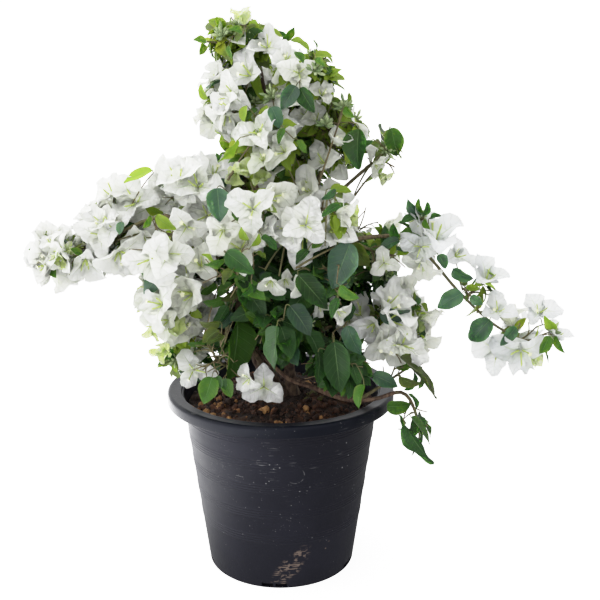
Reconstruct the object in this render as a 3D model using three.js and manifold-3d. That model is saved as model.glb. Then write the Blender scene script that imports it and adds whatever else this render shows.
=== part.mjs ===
// A white bougainvillea in a black plastic nursery pot.
//
// Millimetres, +Z up. The origin is the middle of the pot's flat underside, and -Y is the side that
// the plant is usually seen from. The pot holds soil; a leaning trunk and a second stem stand in it,
// arms and boughs fork from them, and each bough or limb carries masses of leaves and white bracts.

import * as THREE from "three";
import { mergeVertices } from "three/addons/utils/BufferGeometryUtils.js";
import Module from "manifold-3d";

const wasm = await Module();
wasm.setup();

// The pot: a tapering tub of thin plastic with a turned-down lip and drain notches round its foot.
const POT = {
  height: 244,
  rimRadius: 150,
  mouthRadius: 131.5,
  baseRadius: 98.5,
  neckRadius: 129,
  lipHeight: 15,
  lipThickness: 4,
  lipBevel: 3,
  footBevel: 2,
  wall: 2.6,
  floor: 4,
  sides: 36,
};

// The drain notches: pairs with a rib between them, cut through the foot of the wall.
const NOTCH = { pairs: 5, width: 15, height: 6, rib: 3, lift: 1.2, turn: -0.08 };

// The soil: filled to a little under the rim, and flat where the trunk and limbs stand.
const SOIL = {
  edgeHeight: 221,
  crestHeight: 230,
  flatRadius: 36,
  lump: 2.2,
  clearance: 0.8, // from the pot's wall, level with the ground
  spokes: 26,
  rings: 5,
};

const GAP = 0.3; // the clearance between one piece and the next
const SPACE_MARGIN = 0.8; // how far a mass stays inside its own space
const LIMB_MARGIN = 2.5; // how far a leaf or twig stays from a limb that it doesn't grow on
const FLARE_HEIGHT = 14; // the height over which a trunk's root flare dies away
const BURIED = 15; // how far a rooted limb is drawn past the cut at its foot
const GOLDEN_ANGLE = 2.39996;
const UP = new THREE.Vector3(0, 0, 1);

// A leaf's or bract's outline: its width and the place of its widest part as shares of its length, how
// far its sides lift from the midrib, and its thickness.
const LEAF = { widthShare: 0.76, shoulder: 0.4, fold: 0.08, thick: 0.02 };
const BRACT = { widthShare: 0.88, shoulder: 0.46, fold: 0.12, thick: 0.022 };
const BRACT_LENGTH = 47;
const SIZE_STEPS = [1, 0.88, 0.76, 0.66]; // the sizes a blade is tried at, largest first
const TURNS = 12; // how many ways round its twig a leaf is tried
const LEAFY_BLOOMS = 0.5; // the share of blooms that have a leaf behind them
const BLOOM_OPENING = 0.95; // the angle from a bloom's axis to its bracts, in radians
const ROOT_DEPTH = 0.4; // how far a leaf's root is sunk past its twig's axis
const TWIG = {
  radius: 1.8,
  shortest: 8,
  spike: 16, // how far a twig runs on past its last leaf
  span: 0.5, // the share of the way from a mass's middle to the edge of its space where twigs end
  spacing: 12, // a mass has one twig for each so many millimetres of its size
  leafPlaces: [0.98, 0.62, 0.8],
};
const STEM = { radius: 2.8, tipRadius: 2.2, sides: 4, rings: 3 };

// How a mass dresses its twigs: the share that end in a bloom, and the length of a leaf.
const STYLES = {
  white: { blossom: 0.85, leaf: 47, look: "bracts" },
  mixed: { blossom: 0.5, leaf: 55, look: "bracts" },
  leafy: { blossom: 0.12, leaf: 64, look: "leaves" },
};

const COLOURS = {
  pot: { color: 0x2b2b31, roughness: 0.55, metalness: 0 },
  soil: { color: 0x3d2719, roughness: 1, metalness: 0 },
  bark: { color: 0x6b5138, roughness: 0.9, metalness: 0 },
  greenwood: { color: 0x6d6a3a, roughness: 0.8, metalness: 0 },
  leaves: { color: 0x2f5a2c, roughness: 0.5, metalness: 0 },
  bracts: { color: 0xeef0e6, roughness: 0.7, metalness: 0 },
};

// Main limbs: a route of a few turning points, and the radius at each end. The first two stand in the
// soil; the others fork from the limb that they name, a share of the way along it.
const LIMBS = [
  {
    name: "trunk",
    route: [[-8, 4, 0], [-40, 8, 78], [-54, 4, 132], [-34, -4, 250], [-14, 2, 348], [-24, 4, 428]],
    radii: [12, 2.6],
    flare: 7,
  },
  {
    name: "right_stem",
    route: [[14, 10, 0], [10, -16, 60], [4, -40, 125], [14, -54, 185]],
    radii: [8, 4.4],
    flare: 4,
  },
  {
    name: "right_arm_inner",
    from: "right_stem",
    at: 0.93,
    route: [[54, -56, 438], [100, -48, 453], [150, -36, 455]],
    radii: [3.9, 2.7],
  },
  {
    name: "right_arm_outer",
    on: "right_arm_inner",
    route: [[184, -30, 430], [226, -26, 382], [272, -20, 338], [300, -16, 319]],
    radii: [2.7, 1.9],
  },
  {
    name: "left_arm_inner",
    from: "trunk",
    at: 0.42,
    route: [[-72, -34, 446], [-108, -58, 474], [-140, -60, 484]],
    radii: [4.2, 2.8],
  },
  {
    name: "left_arm_outer",
    on: "left_arm_inner",
    route: [[-170, -54, 474], [-196, -46, 460], [-232, -36, 444]],
    radii: [2.8, 2],
  },
  {
    name: "low_branch",
    from: "right_stem",
    at: 0.2,
    route: [[46, -34, 252], [84, -58, 246], [118, -68, 250], [146, -66, 258]],
    radii: [4, 2.4],
  },
];

// Masses of foliage: name, the limb that carries it, the share of the way along that limb, how high
// its own bough arches (null where it has none and grows straight from the limb), its style, the middle
// of its space, and how far it reaches each way.
const MASSES = [
  ["crown_tip", "trunk", 1, null, "mixed", [-46, 0, 692], [60, 54, 44]],
  ["crown_left", "trunk", 0.8, null, "white", [-58, -14, 620], [46, 58, 62]],
  ["crown_front", "trunk", 0.88, null, "mixed", [36, -40, 652], [52, 56, 50]],
  ["crown_core", "trunk", 0.72, null, "mixed", [-18, -64, 574], [60, 58, 58]],
  ["crown_back", "trunk", 0.78, null, "mixed", [6, 74, 614], [78, 62, 78]],
  ["crown_right", "right_stem", 0.97, 18, "mixed", [70, -20, 584], [54, 60, 62]],
  ["crown_side", "trunk", 0.5, -14, "mixed", [134, 0, 550], [46, 54, 46]],
  ["left_shoulder", "trunk", 0.6, 10, "white", [-116, -18, 508], [62, 62, 48]],
  ["left_middle", "left_arm_inner", 0.85, null, "white", [-144, -76, 442], [64, 60, 56]],
  ["left_outer", "left_arm_outer", 0.4, null, "white", [-206, -28, 454], [56, 62, 60]],
  ["left_tip", "left_arm_outer", 1, null, "white", [-272, -30, 428], [50, 54, 44]],
  ["left_low", "left_arm_inner", 0.3, 6, "white", [-134, -46, 372], [56, 62, 54]],
  ["left_skirt", "trunk", 0.16, 34, "mixed", [-124, -34, 306], [50, 62, 52]],
  ["heart_front", "trunk", 0.52, -6, "white", [-26, -108, 500], [66, 60, 58]],
  ["heart_right", "right_stem", 0.88, 4, "white", [48, -106, 492], [56, 60, 60]],
  ["brow", "trunk", 0.34, 8, "mixed", [-48, -122, 432], [66, 56, 60]],
  ["fore_right", "right_stem", 0.7, 12, "leafy", [58, -118, 420], [62, 56, 62]],
  ["fore_low", "right_stem", 0.55, 4, "leafy", [0, -106, 356], [62, 56, 58]],
  ["foot_left", "trunk", 0.1, 26, "leafy", [-76, -90, 312], [64, 60, 56]],
  ["foot_right", "right_stem", 0.4, 22, "leafy", [78, -90, 314], [62, 60, 58]],
  ["low_right", "right_stem", 0.3, 30, "white", [152, -36, 346], [60, 62, 60]],
  ["arm_root", "right_arm_inner", 0.6, null, "mixed", [130, -46, 430], [50, 56, 50]],
  ["arm_bend", "right_arm_outer", 0.12, null, "white", [184, -30, 454], [54, 58, 54]],
  ["arm_fall", "right_arm_outer", 0.6, null, "mixed", [250, -22, 384], [60, 58, 64]],
  ["arm_tip", "right_arm_outer", 1, null, "white", [324, -10, 310], [62, 58, 58]],
  ["rim_leaves", "low_branch", 0.7, null, "leafy", [160, -66, 290], [50, 50, 40]],
  ["trailer", "low_branch", 1, null, "leafy", [172, -72, 216], [46, 52, 60]],
  ["back_left", "trunk", 0.38, 14, "white", [-108, 92, 420], [80, 72, 74]],
  ["back_high", "trunk", 0.56, 4, "mixed", [-14, 112, 500], [76, 66, 66]],
  ["back_right", "right_stem", 0.75, 26, "mixed", [94, 84, 432], [78, 72, 76]],
  ["back_low", "trunk", 0.12, 30, "leafy", [-8, 104, 326], [96, 66, 62]],
].map(([name, on, at, arch, style, middle, reach], index) => ({
  name,
  on,
  at,
  arch,
  index,
  reach,
  middle: vector(middle),
  size: (reach[0] + reach[1] + reach[2]) / 3,
  ...STYLES[style],
}));

function vector(xyz) {
  return new THREE.Vector3(...xyz);
}

// A number from 0 to 1 that looks random but is the same on every run, for an item of a mass.
function chance(mass, item, use) {
  const wave = Math.sin(mass * 12.9898 + item * 78.233 + use * 37.719) * 43758.5453;
  return wave - Math.floor(wave);
}

const lerp = THREE.MathUtils.lerp;

// A closed three.js geometry as a solid that can be joined and cut.
function solidOf(geometry) {
  const bare = geometry.index ? geometry.toNonIndexed() : geometry.clone();
  bare.deleteAttribute("normal");
  bare.deleteAttribute("uv");
  const merged = mergeVertices(bare, 1e-3);
  return new wasm.Manifold(
    new wasm.Mesh({
      numProp: 3,
      vertProperties: merged.attributes.position.array,
      triVerts: new Uint32Array(merged.index.array),
    }),
  );
}

// A solid back as a three.js geometry.
function geometryOf(solid) {
  const mesh = solid.getMesh();
  const positions = new Float32Array(mesh.numVert * 3);
  for (let i = 0; i < mesh.numVert; i++) {
    positions.set(mesh.vertProperties.subarray(i * mesh.numProp, i * mesh.numProp + 3), i * 3);
  }
  const geometry = new THREE.BufferGeometry();
  geometry.setAttribute("position", new THREE.BufferAttribute(positions, 3));
  geometry.setIndex(new THREE.BufferAttribute(new Uint32Array(mesh.triVerts), 1));
  geometry.computeVertexNormals();
  return geometry;
}

// The largest single body of a solid: scraps that a cut leaves loose are dropped.
function mainBody(solid) {
  const bodies = solid.decompose();
  bodies.sort((a, b) => b.volume() - a.volume());
  return bodies[0];
}

// A round limb along a curve: a plain cylinder whose rings are moved onto the curve.
function limbSolid(curve, radiusAt, sides, rings) {
  const cylinder = new THREE.CylinderGeometry(1, 1, 1, sides, rings);
  const frames = curve.computeFrenetFrames(rings);
  const place = cylinder.attributes.position;
  for (let i = 0; i < place.count; i++) {
    const along = 0.5 - place.getY(i);
    const ring = Math.round(along * rings);
    const radius = radiusAt(along);
    const point = curve
      .getPointAt(along)
      .addScaledVector(frames.normals[ring], place.getX(i) * radius)
      .addScaledVector(frames.binormals[ring], place.getZ(i) * radius);
    place.setXYZ(i, point.x, point.y, point.z);
  }
  return solidOf(cylinder);
}

// The height of the soil at a distance from the pot's middle.
function soilHeight(distance) {
  const share = THREE.MathUtils.smoothstep(distance, SOIL.flatRadius, POT.mouthRadius);
  return lerp(SOIL.crestHeight, SOIL.edgeHeight, share);
}

// The radius of the pot's outer wall at a height.
function wallRadius(height) {
  return lerp(POT.baseRadius, POT.neckRadius, height / (POT.height - POT.lipHeight));
}

// The pot, turned from its section, with pairs of notches cut through the foot of the wall.
function potSolid() {
  const { height, rimRadius, mouthRadius, wall, floor, baseRadius, neckRadius } = POT;
  const neck = height - POT.lipHeight;
  const underLip = height - POT.lipThickness;
  const section = [
    [0, 0],
    [baseRadius - POT.footBevel, 0],
    [baseRadius, POT.footBevel],
    [neckRadius, neck],
    [neckRadius, underLip],
    [rimRadius - wall, underLip],
    [rimRadius - wall, neck],
    [rimRadius, neck],
    [rimRadius, height - POT.lipBevel],
    [rimRadius - POT.lipBevel, height],
    [mouthRadius, height],
    [neckRadius - wall, neck],
    [baseRadius - wall, floor],
    [0, floor],
  ];
  const points = section.map(([r, z]) => new THREE.Vector2(r, z));
  const turned = new THREE.LatheGeometry(points, POT.sides).rotateX(Math.PI / 2);
  let pot = solidOf(turned);
  const notch = new THREE.BoxGeometry(NOTCH.width, 4 * wall, NOTCH.height);
  for (let pair = 0; pair < NOTCH.pairs; pair++) {
    for (const side of [-1, 1]) {
      const offset = (side * (NOTCH.width + NOTCH.rib)) / 2;
      const place = notch
        .clone()
        .translate(offset, wall / 2 - baseRadius, NOTCH.height / 2 + NOTCH.lift)
        .rotateZ((pair * 2 * Math.PI) / NOTCH.pairs + NOTCH.turn);
      pot = pot.subtract(solidOf(place));
    }
  }
  return pot;
}

// The soil: a turned plug whose top is lumpy outside the flat middle, clear of the pot all round.
function soilSolid() {
  const innerAt = (z) => wallRadius(z) - POT.wall - SOIL.clearance;
  const rim = innerAt(SOIL.edgeHeight);
  const bottom = POT.floor + GAP;
  const section = [[0, bottom], [innerAt(0), bottom], [rim, SOIL.edgeHeight]];
  for (let ring = SOIL.rings - 1; ring >= 1; ring--) {
    const distance = lerp(SOIL.flatRadius, rim, (ring - 1) / (SOIL.rings - 1));
    section.push([distance, soilHeight(distance)]);
  }
  section.push([0, SOIL.crestHeight]);
  const points = section.map(([r, z]) => new THREE.Vector2(r, z));
  const turned = new THREE.LatheGeometry(points, SOIL.spokes).rotateX(Math.PI / 2);
  const place = turned.attributes.position;
  for (let i = 0; i < place.count; i++) {
    const [x, y, z] = [place.getX(i), place.getY(i), place.getZ(i)];
    const distance = Math.hypot(x, y);
    const loose = z > SOIL.edgeHeight && distance > SOIL.flatRadius + 1 && distance < rim - 1;
    if (loose) place.setZ(i, z + SOIL.lump * Math.sin(x * 0.13 + 1) * Math.cos(y * 0.11));
  }
  return solidOf(turned);
}

// A limb's working form: its curve, its radius along the way, and points to measure clearances from.
function makeLimb(name, points, radii, flare = 0) {
  const curve = new THREE.CatmullRomCurve3(points);
  const length = curve.getLength();
  const radiusAt = (along) => {
    const height = Math.max(0, along * length - BURIED);
    return lerp(radii[0], radii[1], Math.pow(along, 0.8)) + flare * Math.exp(-height / FLARE_HEIGHT);
  };
  const rings = Math.max(3, Math.round(length / (radii[0] > 6 ? 34 : 26)));
  const samples = samplesAlong(curve, rings, radiusAt);
  return { name, curve, radiusAt, rings, samples, sides: radii[0] > 6 ? 8 : 5 };
}

// Points along a limb as it is built, straight between its rings, with its radius at each.
function samplesAlong(curve, rings, radiusAt) {
  const corners = curve.getSpacedPoints(rings);
  const steps = Math.ceil(curve.getLength() / rings / 3);
  const samples = [];
  for (let i = 0; i < rings * steps; i++) {
    const ring = Math.floor(i / steps);
    const point = corners[ring].clone().lerp(corners[ring + 1], (i % steps) / steps);
    samples.push({ point, radius: radiusAt(i / (rings * steps)) });
  }
  samples.push({ point: corners[rings], radius: radiusAt(1) });
  return samples;
}

function planLimbs() {
  const limbs = new Map();
  for (const plan of LIMBS) {
    let points = plan.route.map(vector);
    if (plan.from) {
      points = [limbs.get(plan.from).curve.getPointAt(plan.at), ...points];
    } else if (plan.on) {
      const carrier = limbs.get(plan.on);
      const heading = carrier.curve.getTangentAt(1);
      points = [carrier.curve.getPointAt(1).addScaledVector(heading, GAP), ...points];
    } else {
      for (const point of points) point.z += SOIL.crestHeight + GAP;
      points.unshift(points[0].clone().addScaledVector(UP, -BURIED));
    }
    const limb = makeLimb(plan.name, points, plan.radii, plan.flare);
    limb.rooted = !plan.from && !plan.on;
    limbs.set(plan.name, limb);
  }
  return limbs;
}

// The boughs that lead to the masses, and each mass's stem, which starts at its bough's tip or on its
// limb's axis, bends out of that heading and ends a little past the middle of the mass.
function planStems(limbs) {
  for (const mass of MASSES) {
    const carrier = limbs.get(mass.on);
    const { middle, arch } = mass;
    let start = carrier.curve.getPointAt(mass.at);
    let heading = carrier.curve.getTangentAt(mass.at);
    if (arch !== null) {
      const inwards = start.clone().sub(middle).normalize();
      const end = middle.clone().addScaledVector(inwards, 0.66 * Math.min(...mass.reach));
      const bend = start.clone().lerp(end, 0.5).addScaledVector(UP, arch);
      const thick = Math.max(2.8, 0.5 * carrier.radiusAt(mass.at));
      const bough = makeLimb(mass.name + "_bough", [start, bend, end], [thick, 2.4]);
      limbs.set(bough.name, bough);
      start = end;
      heading = bough.curve.getTangentAt(1);
    } else if (mass.at < 1) {
      heading = middle.clone().sub(start).normalize();
    }
    const clear = arch !== null || mass.at === 1 ? GAP : 0;
    const entry = start.clone().addScaledVector(heading, clear);
    const far = middle.clone().lerp(entry, -0.2);
    const bend = entry.clone().addScaledVector(heading, 0.4 * far.distanceTo(entry));
    mass.stem = new THREE.QuadraticBezierCurve3(entry, bend, far);
  }
}

// A mass's space: an egg round its middle, cut by a plane between it and each other mass.
function planSpaces() {
  for (const mass of MASSES) {
    const { middle, reach } = mass;
    const planes = MASSES.filter((other) => other !== mass).map((other) => {
      const normal = other.middle.clone().sub(middle);
      const apart = normal.length();
      normal.normalize();
      const share = 0.5 + (mass.size ** 2 - other.size ** 2) / (2 * apart * apart);
      return { normal, limit: normal.dot(middle) + share * apart - SPACE_MARGIN };
    });
    mass.holds = (point) => {
      const [x, y, z] = [0, 1, 2].map((axis) => {
        return (point.getComponent(axis) - middle.getComponent(axis)) / reach[axis];
      });
      return x * x + y * y + z * z < 1 && planes.every((plane) => plane.normal.dot(point) < plane.limit);
    };
  }
}

// Whether a point is clear of the pot and the soil.
function clearOfPot(point) {
  const distance = Math.hypot(point.x, point.y);
  const margin = 3;
  if (point.z > POT.height + margin) return true;
  if (distance > POT.rimRadius + margin) return true;
  if (distance < POT.mouthRadius - 2 * margin) {
    return point.z > soilHeight(distance) + SOIL.lump + margin;
  }
  const underLip = point.z < POT.height - POT.lipHeight - margin;
  return underLip && distance > wallRadius(point.z) + margin;
}

// Whether a point is clear of every limb and of the stems of the other masses.
function clearOfLimbs(point, obstacles) {
  return obstacles.every((o) => o.point.distanceToSquared(point) > (o.radius + LIMB_MARGIN) ** 2);
}

function fits(point, mass) {
  return mass.holds(point) && clearOfPot(point) && clearOfLimbs(point, mass.obstacles);
}

// A mass's obstacles: points along each limb and each other mass's stem that come near its space, and
// the rods that join them.
function planObstacles(limbs) {
  const stems = MASSES.map((mass) => ({
    owner: mass,
    samples: samplesAlong(mass.stem, STEM.rings, () => STEM.radius),
  }));
  const ways = [...limbs.values(), ...stems];
  for (const mass of MASSES) {
    const near = ({ point }) => point.distanceTo(mass.middle) < Math.max(...mass.reach) + 12;
    mass.obstacles = [];
    mass.rods = [];
    for (const { samples } of ways.filter((way) => way.owner !== mass)) {
      mass.obstacles.push(...samples.filter(near));
      const pairs = samples.slice(1).map((sample, i) => [samples[i], sample]);
      const close = pairs.filter(([a]) => near(a));
      mass.rods.push(...close.map(([a, b]) => ({ start: a.point, end: b.point })));
    }
  }
}

// A blade, leaf or bract, with its root at a point, its tip pointing one way and its face another.
function makeBlade(form, length, root, towards, facing) {
  const x = towards.clone().normalize();
  const y = facing.clone().cross(x).normalize();
  const z = x.clone().cross(y);
  const matrix = new THREE.Matrix4().makeBasis(x, y, z).setPosition(root);
  const half = (form.widthShare * length) / 2;
  const corner = (along, side) => {
    const lift = Math.abs(side) * form.fold * length;
    return new THREE.Vector3(along * length, side * half, lift).applyMatrix4(matrix);
  };
  const corners = {
    neck: corner(0.06, 0),
    left: corner(form.shoulder, 1),
    right: corner(form.shoulder, -1),
    tip: corner(1, 0),
  };
  return { form, length, half, matrix, root, corners };
}

// The solid of a blade: six corners, its side corners lifted so that it folds along its midrib.
function bladeSolid({ form, length, half, matrix }) {
  const shape = new THREE.OctahedronGeometry(1);
  const corners = shape.attributes.position;
  for (let i = 0; i < corners.count; i++) {
    const [tip, side, face] = [corners.getX(i), corners.getY(i), corners.getZ(i)];
    const along = tip > 0.5 ? length : tip < -0.5 ? -ROOT_DEPTH : form.shoulder * length;
    const lift = Math.abs(side) * form.fold * length + face * form.thick * length * 0.5;
    corners.setXYZ(i, along, side * half, lift);
  }
  return solidOf(shape.applyMatrix4(matrix));
}

// Where a straight piece from a to b crosses a triangle, or null.
function crossing(a, b, triangle) {
  const reach = a.distanceTo(b);
  const ray = new THREE.Ray(a, b.clone().sub(a).normalize());
  const hit = ray.intersectTriangle(...triangle, false, new THREE.Vector3());
  return hit && hit.distanceTo(a) < reach ? hit : null;
}

const edgesOf = ({ corners: { neck, left, right, tip } }) => [
  [neck, left],
  [neck, right],
  [neck, tip],
  [left, tip],
  [right, tip],
];
const facesOf = ({ corners: { neck, left, right, tip } }) => [
  [neck, left, tip],
  [neck, right, tip],
];

// Whether a new blade would cut through the blades or twigs of its mass, or a limb or stem nearby.
function tangles(blade, mass, blades, twigs) {
  const faces = facesOf(blade);
  const near = blades.filter((other) => other.root.distanceTo(blade.root) < other.length + blade.length);
  const cut = (edges, sheets) => edges.some(([a, b]) => sheets.some((sheet) => crossing(a, b, sheet)));
  const cutByRod = [...twigs, ...mass.rods].some(({ start, end }) => cut([[start, end]], faces));
  return cutByRod || near.some((o) => cut(edgesOf(blade), facesOf(o)) || cut(edgesOf(o), faces));
}

// Whether a blade, tested at the thirds of each edge and of its midrib, lies in its mass's free space.
function bladeFits(blade, mass) {
  const shares = [1 / 3, 2 / 3, 1];
  return edgesOf(blade).every(([a, b]) => shares.every((share) => fits(a.clone().lerp(b, share), mass)));
}

// A direction across another one, turned round it.
function across(forward, turn) {
  const other = Math.abs(forward.z) < 0.9 ? UP : new THREE.Vector3(1, 0, 0);
  return forward.clone().cross(other).normalize().applyAxisAngle(forward, turn);
}

// The way out of the crown at a point, level with the ground.
function outwards(point) {
  return new THREE.Vector3(point.x + 20, point.y, 0).normalize();
}

// One leaf: it leans out of its twig and droops, with its face to the light. It is turned round the
// twig, then made smaller, until it fits.
function growLeaf(mass, item, root, forward, blades, twigs) {
  for (const share of SIZE_STEPS) {
    for (let i = 0; i < TURNS; i++) {
      const side = across(forward, (item + i) * GOLDEN_ANGLE);
      const towards = side
        .multiplyScalar(0.9)
        .addScaledVector(forward, 0.35)
        .addScaledVector(outwards(root), 0.35)
        .addScaledVector(UP, -0.5 + 0.4 * chance(mass.index, item, 1));
      const facing = outwards(root).multiplyScalar(0.8).addScaledVector(UP, 0.7);
      const length = mass.leaf * share * (0.85 + 0.3 * chance(mass.index, item, 2));
      const blade = makeBlade(LEAF, length, root, towards, facing);
      if (bladeFits(blade, mass) && !tangles(blade, mass, blades, twigs)) {
        blades.push(blade);
        return;
      }
    }
  }
}

// One bloom: three bracts that open round a twig's end like a loose cup.
function growBloom(mass, item, end, forward, blades, twigs) {
  const stagger = 1.6;
  for (let i = 0; i < 3; i++) {
    const root = end.clone().addScaledVector(forward, -i * stagger);
    for (const [step, share] of SIZE_STEPS.entries()) {
      const swing = 0.35 * Math.sin(step * 2);
      const side = across(forward, item * GOLDEN_ANGLE + (i * 2 * Math.PI) / 3 + swing);
      const opening = BLOOM_OPENING + 0.15 * Math.sin(step * 3);
      const angle = opening * (0.85 + 0.3 * chance(mass.index, item, 3 + i));
      const length = BRACT_LENGTH * share * (0.88 + 0.24 * chance(mass.index, item, 6 + i));
      const towards = forward.clone().multiplyScalar(Math.cos(angle)).addScaledVector(side, Math.sin(angle));
      const facing = forward.clone().multiplyScalar(Math.sin(angle)).addScaledVector(side, -Math.cos(angle));
      const blade = makeBlade(BRACT, length, root, towards, facing);
      if (bladeFits(blade, mass) && !tangles(blade, mass, blades, twigs)) {
        blades.push(blade);
        break;
      }
    }
  }
}

// How far a mass has room from a point in a direction.
function roomAlong(mass, start, direction) {
  const step = 4;
  let room = 0;
  const point = start.clone();
  while (room < 2 * mass.size) {
    point.addScaledVector(direction, step);
    if (!fits(point, mass)) break;
    room += step;
  }
  return room;
}

// Whether a twig from one point to another, with its spike, stays in its mass's space and off the limbs.
function openWay(mass, start, end, forward) {
  const length = start.distanceTo(end) + TWIG.spike;
  for (let out = 6; out <= length; out += 3) {
    if (!fits(start.clone().addScaledVector(forward, out), mass)) return false;
  }
  return fits(start.clone().addScaledVector(forward, length), mass);
}

// The twigs of a mass: their ends lie evenly all round its middle, part of the way to the edge of its
// space, and each one leaves the stem at the place that it forks from most naturally.
function growTwigs(mass) {
  const twigs = [];
  const forkAngle = 0.8;
  const count = Math.round(mass.size / TWIG.spacing);
  for (let i = 0; i < count; i++) {
    const height = 1 - (2 * (i + 0.5)) / count;
    const turn = i * GOLDEN_ANGLE + 6 * chance(mass.index, 0, 9);
    const level = Math.sqrt(1 - height * height);
    const direction = new THREE.Vector3(level * Math.cos(turn), level * Math.sin(turn), height);
    const room = roomAlong(mass, mass.middle, direction);
    const share = TWIG.span + 0.16 * (chance(mass.index, i, 10) - 0.5);
    const out = Math.min(room * share, room - TWIG.spike);
    if (out < TWIG.shortest) continue;
    const end = mass.middle.clone().addScaledVector(direction, out);
    let best = null;
    for (let along = 0.35; along <= 1; along += 0.05) {
      const start = mass.stem.getPoint(along);
      const forward = end.clone().sub(start).normalize();
      const miss = Math.abs(forward.angleTo(mass.stem.getTangent(along)) - forkAngle);
      if ((!best || miss < best.miss) && openWay(mass, start, end, forward)) best = { start, miss };
    }
    if (best) twigs.push({ start: best.start, end });
  }
  return twigs;
}

// Everything on one mass: its twigs, and a bloom or leaves on each twig's end with leaves behind it.
function growMass(mass) {
  const twigs = growTwigs(mass);
  const blades = [];
  for (const [i, { start, end }] of twigs.entries()) {
    const forward = end.clone().sub(start).normalize();
    const blooms = chance(mass.index, i, 11) < mass.blossom;
    if (blooms) growBloom(mass, i, end, forward, blades, twigs);
    const behind = chance(mass.index, i, 12) < LEAFY_BLOOMS ? 1 : 0;
    const places = blooms ? TWIG.leafPlaces.slice(1, 1 + behind) : TWIG.leafPlaces;
    for (const [j, place] of places.entries()) {
      const spot = start.clone().lerp(end, place);
      growLeaf(mass, i * 4 + j, spot, forward, blades, twigs);
    }
  }
  return { twigs, blades };
}

// A twig: a slender three-sided spike that runs on a little past its last leaf or bloom.
function twigSolid({ start, end }) {
  const along = end.clone().sub(start);
  const length = along.length() + TWIG.spike;
  const turned = new THREE.Quaternion().setFromUnitVectors(new THREE.Vector3(0, 1, 0), along.normalize());
  const cone = new THREE.ConeGeometry(TWIG.radius, length, 3, 1).translate(0, length / 2, 0);
  return solidOf(cone.applyQuaternion(turned).translate(start.x, start.y, start.z));
}

function massSolid(mass, { twigs, blades }, limbCuts) {
  const taper = (along) => lerp(STEM.radius, STEM.tipRadius, along);
  const stem = limbSolid(mass.stem, taper, STEM.sides, STEM.rings);
  const joined = wasm.Manifold.union([stem, ...twigs.map(twigSolid), ...blades.map(bladeSolid)]);
  return mainBody(joined.subtract(limbCuts));
}

function addMesh(group, name, solid, look) {
  const mesh = new THREE.Mesh(geometryOf(solid), new THREE.MeshStandardMaterial(COLOURS[look]));
  mesh.name = name;
  group.add(mesh);
}

function build() {
  const group = new THREE.Group();
  addMesh(group, "pot", potSolid(), "pot");
  addMesh(group, "soil", soilSolid(), "soil");

  const limbs = planLimbs();
  planStems(limbs);
  planSpaces();
  planObstacles(limbs);

  // Each limb is cut back from those before it, so that it meets the one that it forks from GAP clear.
  // Those that stand in the soil are cut off flat just above it.
  const wide = [];
  const ground = new THREE.BoxGeometry(4 * SOIL.flatRadius, 4 * SOIL.flatRadius, 4 * BURIED);
  const groundSolid = solidOf(ground.translate(0, 0, SOIL.crestHeight + GAP - 2 * BURIED));
  for (const limb of limbs.values()) {
    let solid = limbSolid(limb.curve, limb.radiusAt, limb.sides, limb.rings);
    if (limb.rooted) solid = solid.subtract(groundSolid);
    if (wide.length) solid = mainBody(solid.subtract(wasm.Manifold.union(wide)));
    wide.push(limbSolid(limb.curve, (along) => limb.radiusAt(along) + GAP, limb.sides, limb.rings));
    addMesh(group, limb.name, solid, limb.name.endsWith("_bough") ? "greenwood" : "bark");
  }

  const limbCuts = wasm.Manifold.union(wide);
  for (const mass of MASSES) {
    addMesh(group, mass.name, massSolid(mass, growMass(mass), limbCuts), mass.look);
  }
  return group;
}

const bougainvillea = build();
bougainvillea.name = "bougainvillea";

export default bougainvillea;
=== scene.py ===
"""The looks of a white bougainvillea that grows in a black plastic nursery pot.

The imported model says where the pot, the soil, the limbs and the masses of foliage are. The tables and the
growth rule below are the model's own, in millimetres, +Z up, with the origin under the middle of the pot
and -Y towards the usual viewer. The rule is carried on here to finer twigs, leaves, blooms and buds.
"""

import math
from functools import cache
from typing import NamedTuple

import bpy
import numpy as np
from bpy.props import FloatProperty, FloatVectorProperty, IntProperty, PointerProperty
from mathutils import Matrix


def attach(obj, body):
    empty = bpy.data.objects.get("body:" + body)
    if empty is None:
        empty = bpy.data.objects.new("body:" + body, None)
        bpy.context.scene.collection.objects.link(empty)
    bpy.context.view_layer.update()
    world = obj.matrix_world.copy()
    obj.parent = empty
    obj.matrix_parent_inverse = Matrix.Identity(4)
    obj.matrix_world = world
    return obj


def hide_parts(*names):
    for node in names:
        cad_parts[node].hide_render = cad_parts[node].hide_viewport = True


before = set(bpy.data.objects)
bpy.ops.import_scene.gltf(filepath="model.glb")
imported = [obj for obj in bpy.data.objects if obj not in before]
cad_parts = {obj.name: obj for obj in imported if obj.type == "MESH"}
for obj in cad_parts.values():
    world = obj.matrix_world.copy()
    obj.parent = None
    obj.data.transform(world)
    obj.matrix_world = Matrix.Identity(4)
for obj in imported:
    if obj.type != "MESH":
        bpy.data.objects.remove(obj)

bl_info = {
    "name": "Potted Bougainvillea",
    "version": (1, 0, 0),
    "blender": (4, 5, 0),
    "location": "3D View > Sidebar > Bougainvillea",
    "description": "Dresses a white bougainvillea in its nursery pot, piece by piece",
    "category": "Add Mesh",
}

MM = 0.001
UP = np.array([0.0, 0.0, 1.0])
GOLDEN_ANGLE = 2.39996
CROWN_AXIS = np.array([-20.0, 0, 0])

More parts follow.
